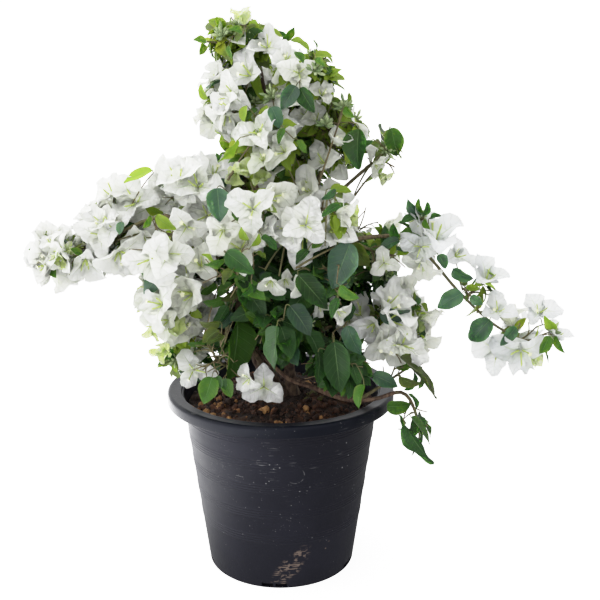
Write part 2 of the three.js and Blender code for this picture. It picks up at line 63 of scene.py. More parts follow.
# The pot and the soil, as in the model.
RIM_RADIUS = 150
MOUTH_RADIUS = 131.5
NECK_RADIUS = 129
BASE_RADIUS = 98.5
NECK_HEIGHT = 229
POT_HEIGHT = 244
WALL = 2.6
FLOOR = 4
NOTCH_PAIRS = 5
NOTCH_WIDTH = 15
NOTCH_RIB = 3
NOTCH_HEIGHTS = (1.2, 7.2)
NOTCH_TURN = -0.08
SOIL_EDGE = 221
SOIL_CREST = 230
SOIL_FLAT_RADIUS = 36
GAP = 0.3
BURIED = 15
FLARE_HEIGHT = 14

# The camera, as the photograph was taken: its place, how far it looks down, and its focal length in
# pixels of the photograph, which is 600 pixels a side.
CAMERA_PLACE = np.array([25.5, -1250.0, 690.0])
CAMERA_PITCH = math.radians(14.7)
PHOTO_SIDE = 600
FOCAL_PIXELS = 990
SENSOR_WIDTH = 36

# The light, in metres: where the bright side of the sky and the two lamps are, the height that the lamps
# are aimed at, how far the floor goes, and how bright the sky looks from the camera.
WINDOW_SIDE = (-0.95, 0.1, 0.35)
KEY_PLACE = (-1.5, -1.3, 2.4)
SIDE_PLACE = (-1.9, -0.3, 0.7)
AIM_HEIGHT = 0.35
FLOOR_REACH = 30
BACKDROP = 1.95

# The camera's response: straight up to the shoulder, then levelling off towards the brightest light.
SHOULDER = 0.55
BRIGHTEST = 1.9


class LimbPlan(NamedTuple):
    """A main limb: what carries it and how far along, its turning points, its end radii and its flare."""

    name: str
    carrier: str
    at: float
    route: list
    radii: tuple
    flare: float = 0


LIMBS = [
    LimbPlan("trunk", "", 0, [(-8, 4, 0), (-40, 8, 78), (-54, 4, 132), (-34, -4, 250), (-14, 2, 348),
                              (-24, 4, 428)], (12, 2.6), 7),
    LimbPlan("right_stem", "", 0, [(14, 10, 0), (10, -16, 60), (4, -40, 125), (14, -54, 185)], (8, 4.4), 4),
    LimbPlan("right_arm_inner", "right_stem", 0.93, [(54, -56, 438), (100, -48, 453), (150, -36, 455)],
             (3.9, 2.7)),
    LimbPlan("right_arm_outer", "right_arm_inner", 1,
             [(184, -30, 430), (226, -26, 382), (272, -20, 338), (300, -16, 319)], (2.7, 1.9)),
    LimbPlan("left_arm_inner", "trunk", 0.42, [(-72, -34, 446), (-108, -58, 474), (-140, -60, 484)],
             (4.2, 2.8)),
    LimbPlan("left_arm_outer", "left_arm_inner", 1, [(-170, -54, 474), (-196, -46, 460), (-232, -36, 444)],
             (2.8, 2)),
    LimbPlan("low_branch", "right_stem", 0.2,
             [(46, -34, 252), (84, -58, 246), (118, -68, 250), (146, -66, 258)], (4, 2.4)),
]


class Style(NamedTuple):
    """How a mass dresses its twigs: how many twigs, the share that end in blooms and how many blooms, the
    share of the rest that end in buds, how many leaves and small leaves are on each, and the length and the
    tones of the leaves."""

    twigs: int
    blossom: float
    blooms: tuple
    budding: float
    leaves: int
    small: int
    leaf_length: float
    tones: tuple


# A style's tones are the shares of its leaves that are deep, green, blue and young. The deep tone is a
# darker copy of the green that paints the shade inside the crown. The blue tone's blue-green is partly
# painted sky sheen.
STYLES = {
    "white": Style(28, 0.92, (2, 3), 0.5, 1, 2, 32, (0.1, 0.4, 0.1, 0.4)),
    "mixed": Style(24, 0.5, (1, 3), 0.5, 2, 6, 38, (0.3, 0.3, 0.08, 0.32)),
    "crown": Style(30, 0.5, (1, 2), 0.6, 2, 8, 30, (0, 0.33, 0.06, 0.61)),
    "leafy": Style(26, 0.03, (1, 1), 0.08, 4, 3, 46, (0.74, 0.22, 0.04, 0)),
    "inner": Style(20, 0.03, (1, 1), 0.1, 4, 3, 40, (0.85, 0.14, 0.01, 0)),
    "lofty": Style(20, 0.2, (1, 1), 0.4, 3, 5, 34, (0.02, 0.44, 0.06, 0.48)),
}
TONES = ("deep", "green", "blue", "young")
LEAF_TONES = (*TONES, "olive", "bud")

# How far the bracts of each tone open, in radians, and how strongly their veins show.
BRACT_TONES = {"white": (0.56, 0.7), "pearl": (0.56, 0.6), "ivory": (0.46, 0.75), "lime": (0.16, 0.6)}
# Painted shade: pearl is the bract white made darker and cooler on the right arm, away from the window side.
SHADED_PEARL_FROM = 165  # white bracts turn pearl further along the right arm than this

# The share of a mass's blooms that are white, the rest being ivory, in the light and in half shade, ivory
# being the white made darker and yellower as painted shade; and the share of all blooms that are still small
# and lime.
WHITE_SHARE = 0.76
SHADED_WHITE_SHARE = 0.3
LIME_SHARE = 0.13

# Masses of foliage: name, the limb that carries it, the share of the way along that limb, how high its
# own bough arches (None where it grows straight from the limb), its style, middle and reach.
MASSES = [
    ("crown_tip", "trunk", 1, None, "crown", (-46, 0, 692), (60, 54, 44)),
    ("crown_left", "trunk", 0.8, None, "white", (-58, -14, 620), (46, 58, 62)),
    ("crown_front", "trunk", 0.88, None, "crown", (36, -40, 652), (52, 56, 50)),
    ("crown_core", "trunk", 0.72, None, "crown", (-18, -64, 574), (60, 58, 58)),
    ("crown_back", "trunk", 0.78, None, "crown", (6, 74, 614), (78, 62, 78)),
    ("crown_right", "right_stem", 0.97, 18, "crown", (70, -20, 584), (54, 60, 62)),
    ("crown_side", "trunk", 0.5, -14, "mixed", (134, 0, 550), (46, 54, 46)),
    ("left_shoulder", "trunk", 0.6, 10, "white", (-116, -18, 508), (62, 62, 48)),
    ("left_middle", "left_arm_inner", 0.85, None, "white", (-144, -76, 442), (64, 60, 56)),
    ("left_outer", "left_arm_outer", 0.4, None, "white", (-206, -28, 454), (56, 62, 60)),
    ("left_tip", "left_arm_outer", 1, None, "white", (-272, -30, 428), (50, 54, 44)),
    ("left_low", "left_arm_inner", 0.3, 6, "white", (-134, -46, 372), (56, 62, 54)),
    ("left_skirt", "trunk", 0.16, 34, "mixed", (-124, -34, 306), (50, 62, 52)),
    ("heart_front", "trunk", 0.52, -6, "white", (-26, -108, 500), (66, 60, 58)),
    ("heart_right", "right_stem", 0.88, 4, "white", (48, -106, 492), (56, 60, 60)),
    ("brow", "trunk", 0.34, 8, "leafy", (-48, -122, 432), (66, 56, 60)),
    ("fore_right", "right_stem", 0.7, 12, "leafy", (58, -118, 420), (62, 56, 62)),
    ("fore_low", "right_stem", 0.55, 4, "leafy", (0, -106, 356), (62, 56, 58)),
    ("foot_left", "trunk", 0.1, 26, "leafy", (-76, -90, 312), (64, 60, 56)),
    ("foot_right", "right_stem", 0.4, 22, "leafy", (78, -90, 314), (62, 60, 58)),
    ("low_right", "right_stem", 0.3, 30, "white", (152, -36, 346), (60, 62, 60)),
    ("arm_root", "right_arm_inner", 0.6, None, "mixed", (130, -46, 430), (50, 56, 50)),
    ("arm_bend", "right_arm_outer", 0.12, None, "white", (184, -30, 454), (54, 58, 54)),
    ("arm_fall", "right_arm_outer", 0.6, None, "mixed", (250, -22, 384), (60, 58, 64)),
    ("arm_tip", "right_arm_outer", 1, None, "white", (324, -10, 310), (62, 58, 58)),
    ("rim_leaves", "low_branch", 0.7, None, "leafy", (160, -66, 290), (50, 50, 40)),
    ("trailer", "low_branch", 1, None, "leafy", (172, -72, 216), (46, 52, 60)),
    ("back_left", "trunk", 0.38, 14, "mixed", (-108, 92, 420), (80, 72, 74)),
    ("back_high", "trunk", 0.56, 4, "mixed", (-14, 112, 500), (76, 66, 66)),
    ("back_right", "right_stem", 0.75, 26, "mixed", (94, 84, 432), (78, 72, 76)),
    ("back_low", "trunk", 0.12, 30, "leafy", (-8, 104, 326), (96, 66, 62)),
]

# Foliage inside the crown, which joins the masses round it: the same columns. It bears no solid's name.
INNER_MASSES = [
    ("inner_low", "trunk", 0.14, None, "inner", (6, -2, 334), (84, 70, 62)),
    ("inner_middle", "trunk", 0.3, None, "inner", (8, -2, 440), (88, 72, 66)),
    ("inner_high", "trunk", 0.55, None, "lofty", (30, 24, 540), (66, 60, 60)),
    ("inner_right", "right_stem", 0.4, None, "inner", (110, 22, 390), (60, 62, 66)),
    ("inner_left", "trunk", 0.3, None, "inner", (-104, 14, 420), (60, 60, 66)),
    ("inner_back", "trunk", 0.6, None, "lofty", (-52, 56, 526), (66, 58, 64)),
    ("inner_shoulder", "trunk", 0.4, None, "lofty", (-80, 70, 470), (56, 56, 56)),
    ("inner_foot", "trunk", 0.12, None, "inner", (-64, 10, 326), (56, 56, 52)),
    ("inner_side", "right_stem", 0.35, None, "inner", (72, 14, 336), (56, 56, 54)),
]

# Sparse masses, where the photograph shows sky between single sprays: the share of their twigs that bear
# leaves and blooms.
SPARSE = {"crown_side": 0.15, "arm_root": 0.1, "arm_bend": 0.25, "arm_fall": 0.12, "arm_tip": 0.3,
          "rim_leaves": 0.15, "trailer": 0.25, "left_skirt": 0.7, "crown_right": 0.8}

# Masses in half shade, where most bracts are ivory, the white's painted shade.
SHADED = ("left_low", "left_skirt", "crown_core", "crown_front", "heart_front")

# Where the photograph shows sky through or beside the crown: the column, row and radius in pixels.
SKY = [(368, 92, 22), (348, 62, 18), (376, 208, 22), (392, 190, 18), (404, 262, 10), (446, 300, 20),
       (212, 150, 12), (440, 176, 26), (372, 228, 9), (436, 330, 14), (352, 196, 11), (396, 284, 10),
       (371, 286, 7), (196, 80, 8), (66, 294, 18), (120, 292, 12), (310, 22, 12), (222, 13, 9),
       (264, 14, 12), (416, 186, 14), (432, 190, 12), (236, 6, 12), (408, 170, 12), (397, 440, 17),
       (437, 432, 8), (331, 62, 7), (452, 350, 12), (424, 204, 13), (231, 14, 10), (252, 14, 11),
       (202, 66, 9), (448, 228, 8), (326, 44, 8), (204, 124, 10), (206, 73, 9), (62, 218, 16),
       (57, 280, 11), (362, 272, 8), (444, 206, 12), (338, 80, 5), (78, 204, 9), (364, 116, 9),
       (356, 227, 7), (366, 262, 8), (228, 112, 6), (203, 84, 6), (200, 116, 6), (68, 226, 10)]


class LeafPortrait(NamedTuple):
    """A leaf that stands out in the photograph: its mass and tone, the pixels of its root and tip, and
    how broadly it shows, from 1 for full face to 0 for edge on."""

    mass: str
    tone: str
    root: tuple
    tip: tuple
    breadth: float


LEAF_PORTRAITS = [LeafPortrait(*row) for row in [
    ("heart_right", "blue", (350, 243), (332, 290), 1),
    ("arm_root", "olive", (353, 243), (366, 273), 0.9),
    ("foot_right", "deep", (334, 342), (341, 397), 1),
    ("fore_low", "deep", (277, 326), (270, 372), 0.42),
    ("foot_left", "green", (237, 322), (238, 384), 0.6),
    ("fore_right", "deep", (298, 275), (330, 310), 1),
    ("fore_low", "blue", (290, 306), (313, 335), 0.95),
    ("foot_right", "blue", (347, 326), (358, 358), 0.85),
    ("foot_right", "deep", (308, 333), (325, 356), 0.8),
    ("brow", "deep", (226, 252), (254, 274), 0.95),
    ("heart_front", "blue", (217, 188), (220, 222), 1),
    ("crown_right", "deep", (359, 129), (353, 170), 0.8),
    ("crown_side", "green", (391, 128), (399, 160), 1),
    ("crown_left", "young", (257, 71), (256, 106), 0.5),
    ("crown_front", "blue", (296, 86), (281, 109), 1),
    ("crown_front", "deep", (300, 88), (313, 113), 0.95),
    ("crown_core", "blue", (271, 107), (283, 127), 0.95),
    ("left_outer", "young", (152, 170), (122, 180), 0.6),
    ("left_outer", "young", (163, 215), (144, 208), 0.8),
    ("left_middle", "young", (156, 216), (174, 231), 0.8),
    ("left_low", "blue", (160, 274), (142, 296), 1),
    ("left_skirt", "blue", (217, 312), (231, 332), 0.7),
    ("arm_fall", "blue", (462, 293), (437, 307), 1),
    ("arm_fall", "blue", (490, 320), (467, 343), 1),
    ("arm_tip", "blue", (516, 327), (501, 346), 0.9),
    ("arm_fall", "blue", (453, 269), (471, 285), 0.6),
    ("arm_bend", "blue", (438, 255), (449, 267), 0.9),
    ("arm_bend", "blue", (399, 240), (379, 247), 0.9),
    ("arm_tip", "green", (549, 336), (543, 356), 0.8),
    ("arm_tip", "green", (556, 336), (561, 355), 0.6),
    ("arm_tip", "young", (555, 329), (544, 318), 0.8),
    ("low_right", "blue", (380, 311), (412, 325), 0.6),
    ("rim_leaves", "olive", (400, 357), (443, 394), 0.2),
    ("rim_leaves", "olive", (399, 377), (420, 392), 0.5),
    ("rim_leaves", "blue", (373, 375), (399, 386), 1),
    ("trailer", "deep", (405, 425), (430, 468), 0.42),
    ("trailer", "green", (411, 417), (433, 443), 0.3),
    ("trailer", "green", (387, 406), (412, 409), 0.8),
    ("foot_left", "green", (212, 377), (203, 405), 1),
    ("crown_tip", "green", (284, 40), (296, 30), 0.6),
    ("crown_tip", "young", (291, 40), (312, 45), 0.45),
    ("crown_tip", "green", (206, 42), (196, 36), 0.8),
    ("crown_tip", "green", (204, 44), (202, 54), 0.8),
    ("crown_tip", "green", (242, 33), (231, 25), 0.6),
    ("crown_core", "young", (238, 140), (222, 166), 0.3),
    ("crown_core", "young", (246, 106), (242, 122), 0.6),
    ("crown_front", "green", (316, 58), (325, 66), 1),
    ("heart_right", "deep", (340, 205), (321, 214), 0.8),
    ("heart_right", "blue", (336, 190), (322, 200), 0.7),
    ("fore_right", "green", (340, 286), (357, 302), 0.6),
    ("brow", "deep", (252, 284), (246, 300), 0.5),
    ("foot_left", "olive", (224, 336), (206, 342), 0.7),
    ("foot_left", "blue", (232, 312), (219, 330), 0.7),
    ("foot_right", "green", (364, 385), (352, 408), 0.6),
    ("foot_right", "deep", (318, 352), (322, 388), 0.6),
    ("arm_fall", "blue", (471, 296), (482, 306), 0.9),
    ("arm_bend", "blue", (420, 216), (404, 205), 0.6),
    ("arm_bend", "deep", (418, 218), (401, 215), 0.5),
    ("arm_bend", "green", (422, 214), (416, 201), 0.6),
    ("arm_bend", "deep", (424, 216), (430, 204), 0.6),
    ("arm_bend", "deep", (430, 218), (440, 214), 0.7),
    ("arm_bend", "green", (424, 220), (428, 231), 0.7),
    ("arm_bend", "deep", (398, 238), (389, 228), 0.6),
    ("crown_side", "deep", (372, 140), (360, 150), 0.6),
    ("crown_left", "green", (244, 120), (252, 106), 0.7),
    ("left_outer", "blue", (122, 222), (118, 234), 0.8),
    ("left_middle", "green", (150, 216), (146, 230), 0.7),
    ("left_tip", "green", (82, 256), (73, 247), 0.8),
    ("foot_left", "green", (224, 298), (204, 312), 0.5),
    ("foot_left", "deep", (228, 306), (212, 330), 0.8),
    ("foot_left", "olive", (220, 322), (200, 330), 0.5),
    ("foot_left", "olive", (218, 330), (202, 342), 0.9),
    ("left_skirt", "green", (206, 340), (188, 350), 0.5),
    ("left_skirt", "deep", (222, 356), (208, 374), 0.7),
    ("crown_front", "green", (296, 52), (304, 62), 0.7),
    ("crown_tip", "green", (228, 46), (230, 58), 0.6),
    ("heart_front", "deep", (262, 236), (280, 248), 0.7),
    ("heart_right", "deep", (308, 250), (294, 262), 0.8),
    ("brow", "young", (248, 240), (238, 232), 0.5),
    ("brow", "young", (252, 246), (262, 238), 0.4),
    ("brow", "olive", (256, 252), (266, 258), 0.6),
    ("crown_core", "green", (284, 128), (276, 142), 0.7),
    ("crown_core", "green", (298, 140), (306, 152), 0.7),
    ("crown_right", "green", (344, 108), (353, 118), 0.7),
    ("brow", "green", (224, 260), (206, 272), 0.6),
    ("brow", "olive", (234, 268), (222, 284), 0.6),
    ("foot_left", "green", (216, 284), (200, 296), 0.5),
    ("brow", "young", (214, 262), (205, 252), 0.5),
    ("foot_left", "olive", (236, 290), (224, 304), 0.6),
    ("fore_right", "deep", (338, 298), (330, 318), 0.8),
    ("foot_right", "deep", (352, 304), (346, 324), 0.7),
    ("foot_left", "green", (232, 284), (214, 296), 0.8),
]]


class BloomPortrait(NamedTuple):
    """A bloom that stands out in the photograph: its mass and tone, the pixel of its base, the pixel
    that it opens towards, how far it faces the viewer, from 0 to 1, and its size."""

    mass: str
    tone: str
    base: tuple
    towards: tuple
    face: float
    size: float = 1


BLOOM_PORTRAITS = [BloomPortrait(*row) for row in [
    ("crown_tip", "lime", (243, 18), (240, 0), 0, 0.6),
    ("crown_tip", "white", (266, 44), (260, 30), 0.5, 0.85),
    ("crown_left", "white", (247, 74), (232, 66), 0.5, 0.9),
    ("crown_left", "white", (225, 116), (218, 140), 0.2, 0.85),
    ("crown_left", "white", (226, 108), (205, 99), 0.1, 0.75),
    ("crown_front", "ivory", (299, 73), (299, 77), 1, 0.72),
    ("crown_core", "white", (258, 132), (254, 124), 0.8, 0.85),
    ("crown_core", "lime", (246, 170), (244, 158), 0.4, 0.55),
    ("crown_core", "lime", (234, 176), (230, 180), 0.5, 0.55),
    ("crown_core", "ivory", (308, 190), (292, 178), 0.6, 0.95),
    ("crown_right", "ivory", (322, 162), (312, 152), 0.5, 0.8),
    ("heart_front", "white", (252, 208), (246, 200), 0.8, 0.88),
    ("heart_front", "ivory", (240, 248), (234, 238), 0.8),
    ("heart_right", "white", (288, 228), (280, 222), 0.7, 0.8),
    ("heart_right", "white", (306, 224), (308, 214), 0.8, 0.85),
    ("left_shoulder", "white", (196, 184), (186, 168), 0.5, 1.1),
    ("left_shoulder", "white", (206, 214), (200, 206), 0.7),
    ("left_outer", "white", (134, 200), (122, 184), 0.5, 1.05),
    ("left_outer", "white", (100, 236), (96, 240), 0.8, 0.9),
    ("left_outer", "white", (120, 256), (122, 272), 0.4),
    ("left_tip", "white", (60, 250), (38, 247), 0.2, 0.85),
    ("left_tip", "white", (64, 258), (44, 264), 0.4, 0.9),
    ("left_tip", "white", (86, 264), (88, 282), 0.3),
    ("left_middle", "white", (168, 254), (164, 258), 0.9, 0.9),
    ("left_middle", "white", (208, 246), (208, 250), 0.8),
    ("left_low", "ivory", (190, 294), (176, 296), 0.5, 1.1),
    ("left_low", "white", (158, 304), (144, 302), 0.4),
    ("left_skirt", "lime", (154, 328), (150, 340), 0.2, 0.7),
    ("foot_left", "white", (264, 387), (265, 390), 1, 0.76),
    ("foot_left", "white", (245, 381), (236, 387), 0.4, 0.6),
    ("left_skirt", "white", (194, 371), (195, 380), 0.8, 0.8),
    ("low_right", "white", (388, 306), (404, 290), 0.3, 1.15),
    ("low_right", "white", (394, 318), (412, 312), 0.3, 1.1),
    ("low_right", "white", (372, 326), (364, 334), 0.5),
    ("low_right", "white", (404, 344), (412, 341), 0.7),
    ("low_right", "ivory", (386, 346), (384, 352), 0.7),
    ("arm_root", "ivory", (384, 263), (382, 266), 1, 0.62),
    ("arm_bend", "white", (436, 237), (447, 202), 0.15, 1.2),
    ("arm_bend", "white", (420, 249), (418, 255), 0.7, 0.8),
    ("arm_bend", "ivory", (423, 264), (424, 284), 0.3, 0.9),
    ("arm_bend", "white", (416, 222), (404, 229), 0.3, 0.7),
    ("arm_fall", "white", (459, 254), (474, 244), 0.3, 0.75),
    ("arm_fall", "white", (488, 277), (497, 256), 0.35, 0.95),
    ("arm_fall", "white", (498, 309), (499, 300), 0.6, 0.85),
    ("arm_tip", "white", (539, 310), (542, 292), 0.55, 0.85),
    ("arm_tip", "white", (497, 352), (495, 364), 0.6, 1.1),
    ("arm_tip", "white", (521, 354), (522, 372), 0.45, 1.05),
    ("arm_tip", "white", (556, 334), (570, 317), 0.2, 0.8),
    ("left_outer", "white", (112, 192), (104, 172), 0.2, 0.85),
    ("left_outer", "white", (150, 206), (146, 196), 0.7, 0.9),
    ("left_shoulder", "white", (214, 172), (216, 156), 0.4, 0.9),
    ("left_shoulder", "white", (176, 178), (166, 158), 0.4, 1.05),
    ("left_low", "ivory", (164, 322), (150, 328), 0.4, 0.8),
    ("left_skirt", "lime", (164, 350), (154, 360), 0.4, 0.7),
    ("left_middle", "white", (150, 262), (146, 270), 0.6),
    ("brow", "ivory", (270, 284), (266, 296), 0.5, 0.55),
    ("fore_right", "ivory", (286, 284), (288, 296), 0.5, 0.55),
    ("fore_right", "ivory", (302, 286), (306, 297), 0.5, 0.55),
    ("fore_low", "ivory", (322, 308), (328, 318), 0.4, 0.5),
    ("fore_right", "ivory", (340, 314), (346, 322), 0.4, 0.5),
    ("crown_front", "ivory", (324, 92), (330, 84), 0.5, 0.55),
    ("crown_front", "ivory", (306, 112), (310, 104), 0.6, 0.6),
    ("crown_front", "white", (288, 56), (292, 46), 0.5, 0.6),
    ("crown_left", "white", (230, 94), (222, 90), 0.5, 0.8),
    ("crown_core", "ivory", (282, 150), (276, 144), 0.6, 0.75),
    ("crown_core", "lime", (262, 178), (258, 172), 0.5, 0.55),
    ("crown_side", "ivory", (378, 166), (386, 176), 0.3, 0.6),
    ("crown_side", "lime", (384, 178), (392, 184), 0.2, 0.5),
    ("left_tip", "lime", (60, 258), (54, 266), 0.3, 0.6),
    ("left_tip", "lime", (68, 250), (64, 242), 0.3, 0.5),
    ("left_outer", "white", (140, 236), (136, 244), 0.6, 0.85),
    ("left_middle", "white", (186, 228), (184, 236), 0.8, 0.85),
    ("heart_front", "ivory", (222, 232), (218, 238), 0.7, 0.85),
    ("left_low", "ivory", (206, 290), (198, 284), 0.5, 0.8),
    ("left_low", "lime", (176, 330), (174, 322), 0.3, 0.7),
    ("left_middle", "ivory", (200, 264), (196, 256), 0.6, 0.85),
    ("left_low", "white", (184, 276), (178, 270), 0.5, 0.85),
    ("left_low", "lime", (212, 276), (208, 268), 0.4, 0.7),
    ("crown_core", "ivory", (262, 158), (258, 150), 0.6, 0.7),
    ("left_outer", "white", (112, 224), (108, 216), 0.6, 0.8),
    ("left_outer", "white", (99, 221), (90, 210), 0.4, 0.75),
    ("left_tip", "white", (50, 242), (42, 230), 0.2, 0.6),
    ("crown_front", "ivory", (318, 118), (322, 110), 0.5, 0.6),
    ("crown_right", "ivory", (338, 140), (342, 128), 0.4, 0.7),
    ("low_right", "white", (358, 312), (350, 302), 0.4, 0.9),
    ("low_right", "ivory", (346, 322), (338, 330), 0.4, 0.6),
]]

# Bud clusters that show in the photograph: mass, pixel, and the pixel that they point towards.
BUD_PORTRAITS = [
    ("crown_right", (344, 106), (346, 90)),
    ("crown_tip", (222, 34), (214, 26)),
    ("crown_front", (315, 70), (320, 58)),
    ("crown_core", (272, 96), (268, 90)),
    ("arm_tip", (552, 332), (562, 331)),
    ("arm_bend", (420, 216), (422, 208)),
    ("crown_front", (300, 98), (304, 90)),
    ("crown_right", (326, 124), (330, 114)),
]

# Pieces that lie on the soil in the photograph: pixel and size. Most are husk; the last are moss.
HUSK_PORTRAITS = [((265, 413), 7), ((306, 388), 6), ((198, 409), 5), ((206, 411), 6), ((213, 414), 5),
                  ((221, 407), 5), ((229, 418), 3.5), ((247, 419), 3), ((238, 412), 3.5),
                  ((224, 414), 4), ((201, 403), 4), ((192, 405), 4), ((217, 421), 3)]
MOSS_PORTRAITS = [((312, 398), 7), ((320, 402), 6), ((307, 403), 5), ((327, 399), 5), ((318, 394), 5)]

# How the leaves and blooms that stand out are set: a leaf's root in front of its mass, its tip in front of
# the root, and a bloom's base back into its mass. Each kind has its own run of seeds.
LEAF_LIFT = 13
TIP_LIFT = 10
BLOOM_SINK = 8
LEAF_SEEDS = 500
BLOOM_SEEDS = 700
BUD_SEEDS = 900

# Long bare shoots that show in the photograph: mass and the pixels of their two ends.
SHOOT_PORTRAITS = [
    ("crown_core", (308, 218), (344, 108)),
    ("crown_core", (228, 180), (254, 140)),
    ("left_outer", (180, 226), (118, 240)),
    ("low_right", (372, 360), (430, 350)),
    ("crown_side", (352, 200), (374, 172)),
    ("fore_right", (296, 268), (350, 241)),
    ("brow", (286, 242), (279, 276)),
    ("heart_right", (327, 196), (325, 246)),
]


def unit(vectors):
    """Each vector divided by its own length."""
    return vectors / np.linalg.norm(vectors, axis=-1, keepdims=True)


def lerp(a, b, share):
    """The value a share of the way from a to b."""
    return a + (b - a) * share


def chance(mass, item, use):
    """A number from 0 to 1 that looks random but is the same on every run: the fraction of a large sine."""
    wave = np.sin(mass * 12.9898 + item * 78.233 + use * 37.719) * 43758.5453
    return wave - np.floor(wave)


def any_way(mass, item, use):
    """A direction that looks random, from three chances, each less a half."""
    return unit(np.stack([chance(mass, item, use + k) - 0.5 for k in range(3)], -1))


def across(forward, turn):
    """Directions square to others, turned round them by an angle: side cos a + (forward x side) sin a."""
    other = np.where(np.abs(forward[..., 2:]) < 0.9, UP, np.array([1.0, 0, 0]))
    side = unit(np.cross(forward, other))
    turn = np.asarray(turn)[..., None]
    return side * np.cos(turn) + np.cross(forward, side) * np.sin(turn)


def outwards(points):
    """The way out of the crown at each point, level with the ground."""
    return unit((points - CROWN_AXIS) * np.array([1, 1, 0]))


def ripple(points, scale, seed):
    """Smooth noise from about -1 to 1: the sum of twelve sine waves that run through space in scattered
    directions, each with a wavelength near the scale."""
    wave = np.arange(12)
    heading = any_way(seed, wave, 1)
    pitch = 2 * np.pi / scale * (0.6 + 0.8 * chance(seed, wave, 4))
    phase = 2 * np.pi * chance(seed, wave, 5)
    return np.sin(points @ (heading * pitch[:, None]).T + phase).sum(-1) / 5


def bend(starts, turns, ends, steps):
    """Quadratic curves, as arrays of points: (1-t)(1-t) start + 2t(1-t) turn + t t end."""
    t = np.linspace(0, 1, steps)[:, None]
    starts, turns, ends = (np.atleast_2d(x)[:, None] for x in (starts, turns, ends))
    return (1 - t) ** 2 * starts + 2 * t * (1 - t) * turns + t**2 * ends


def curve_through(points, steps=40):
    """A centripetal Catmull-Rom curve: between two points, the cubic that passes through both, with the
    slopes that the points before and after give when knots are spaced by the root of the distance."""
    points = np.asarray(points, float)
    line = np.vstack([2 * points[0] - points[1], points, 2 * points[-1] - points[-2]])
    gaps = np.sqrt(np.linalg.norm(np.diff(line, axis=0), axis=1))[:, None]
    before, here, there, after = line[:-3], line[1:-2], line[2:-1], line[3:]
    g0, g1, g2 = gaps[:-2], gaps[1:-1], gaps[2:]
    leave = ((here - before) / g0 - (there - before) / (g0 + g1) + (there - here) / g1) * g1
    reach = ((there - here) / g1 - (after - here) / (g1 + g2) + (after - there) / g2) * g1
    t = np.linspace(0, 1, steps, endpoint=False)[None, :, None]
    cubic = (
        here[:, None]
        + leave[:, None] * t
        + (3 * (there - here) - 2 * leave - reach)[:, None] * t**2
        + (2 * (here - there) + leave + reach)[:, None] * t**3
    )
    return np.vstack([cubic.reshape(-1, 3), points[-1]])


class Route:
    """A way through space, kept as many short steps, that gives its point and heading at any share of
    its length."""

    def __init__(self, points):
        self.points = points
        steps = np.linalg.norm(np.diff(points, axis=0), axis=1)
        self.length = steps.sum()
        self.shares = np.concatenate([[0], np.cumsum(steps)]) / self.length

    def at(self, share):
        """The point at a share of the length."""
        return np.stack([np.interp(share, self.shares, self.points[:, k]) for k in range(3)], -1)

    def heading(self, share):
        """The way on at a share of the length, taken from a little before it to a little after."""
        share = np.clip(share, 0.01, 0.99)
        return unit(self.at(share + 0.01) - self.at(share - 0.01))


class Limb:
    """The trunk, a stem, an arm or a bough: a route and the radius along it."""

    def __init__(self, name, points, radii, flare=0):
        self.name = name
        self.route = Route(curve_through(points))
        self.radii = radii
        self.flare = flare

    def radius(self, share):
        """From the first radius to the last as share to the power 0.8, plus a flare that dies away."""
        height = np.maximum(0, share * self.route.length - BURIED)
        return lerp(*self.radii, share**0.8) + self.flare * np.exp(-height / FLARE_HEIGHT)


def wall_radius(height):
    """The radius of the pot's outer wall at a height."""
    return lerp(BASE_RADIUS, NECK_RADIUS, height / NECK_HEIGHT)


def soil_height(distance):
    """The height of the soil at a distance from the pot's middle: flat, then a smooth fall to the rim."""
    share = np.clip((distance - SOIL_FLAT_RADIUS) / (MOUTH_RADIUS - SOIL_FLAT_RADIUS), 0, 1)
    return lerp(SOIL_CREST, SOIL_EDGE, share * share * (3 - 2 * share))


def clear_of_pot(points, margin=4):
    """Whether each point is clear of the pot and of the soil in it."""
    distance = np.hypot(points[..., 0], points[..., 1])
    height = points[..., 2]
    above = height > POT_HEIGHT + margin
    beside = distance > RIM_RADIUS + margin
    within = (distance < MOUTH_RADIUS - 2 * margin) & (height > soil_height(distance) + margin + 2)
    under = (height < NECK_HEIGHT - margin) & (distance > wall_radius(height) + margin)
    return above | beside | within | under


def view_axes():
    """The camera's right, up and forward directions."""
    rise, run = math.sin(CAMERA_PITCH), math.cos(CAMERA_PITCH)
    return np.array([[1, 0, 0], [0, rise, run], [0, run, -rise]], float)


def sight(pixel):
    """The heading from the camera through a pixel of the photograph."""
    aside, down = (np.asarray(pixel, float) - PHOTO_SIDE / 2) / FOCAL_PIXELS
    right, up, forward = view_axes()
    return unit(forward + right * aside - up * down)


def seen_at(points):
    """The pixels at which points show in the photograph, and how far away they are."""
    right, up, forward = view_axes()
    offset = points - CAMERA_PLACE
    depth = offset @ forward
    aside = PHOTO_SIDE / 2 + FOCAL_PIXELS * (offset @ right) / depth
    down = PHOTO_SIDE / 2 - FOCAL_PIXELS * (offset @ up) / depth
    return np.stack([aside, down], -1), depth


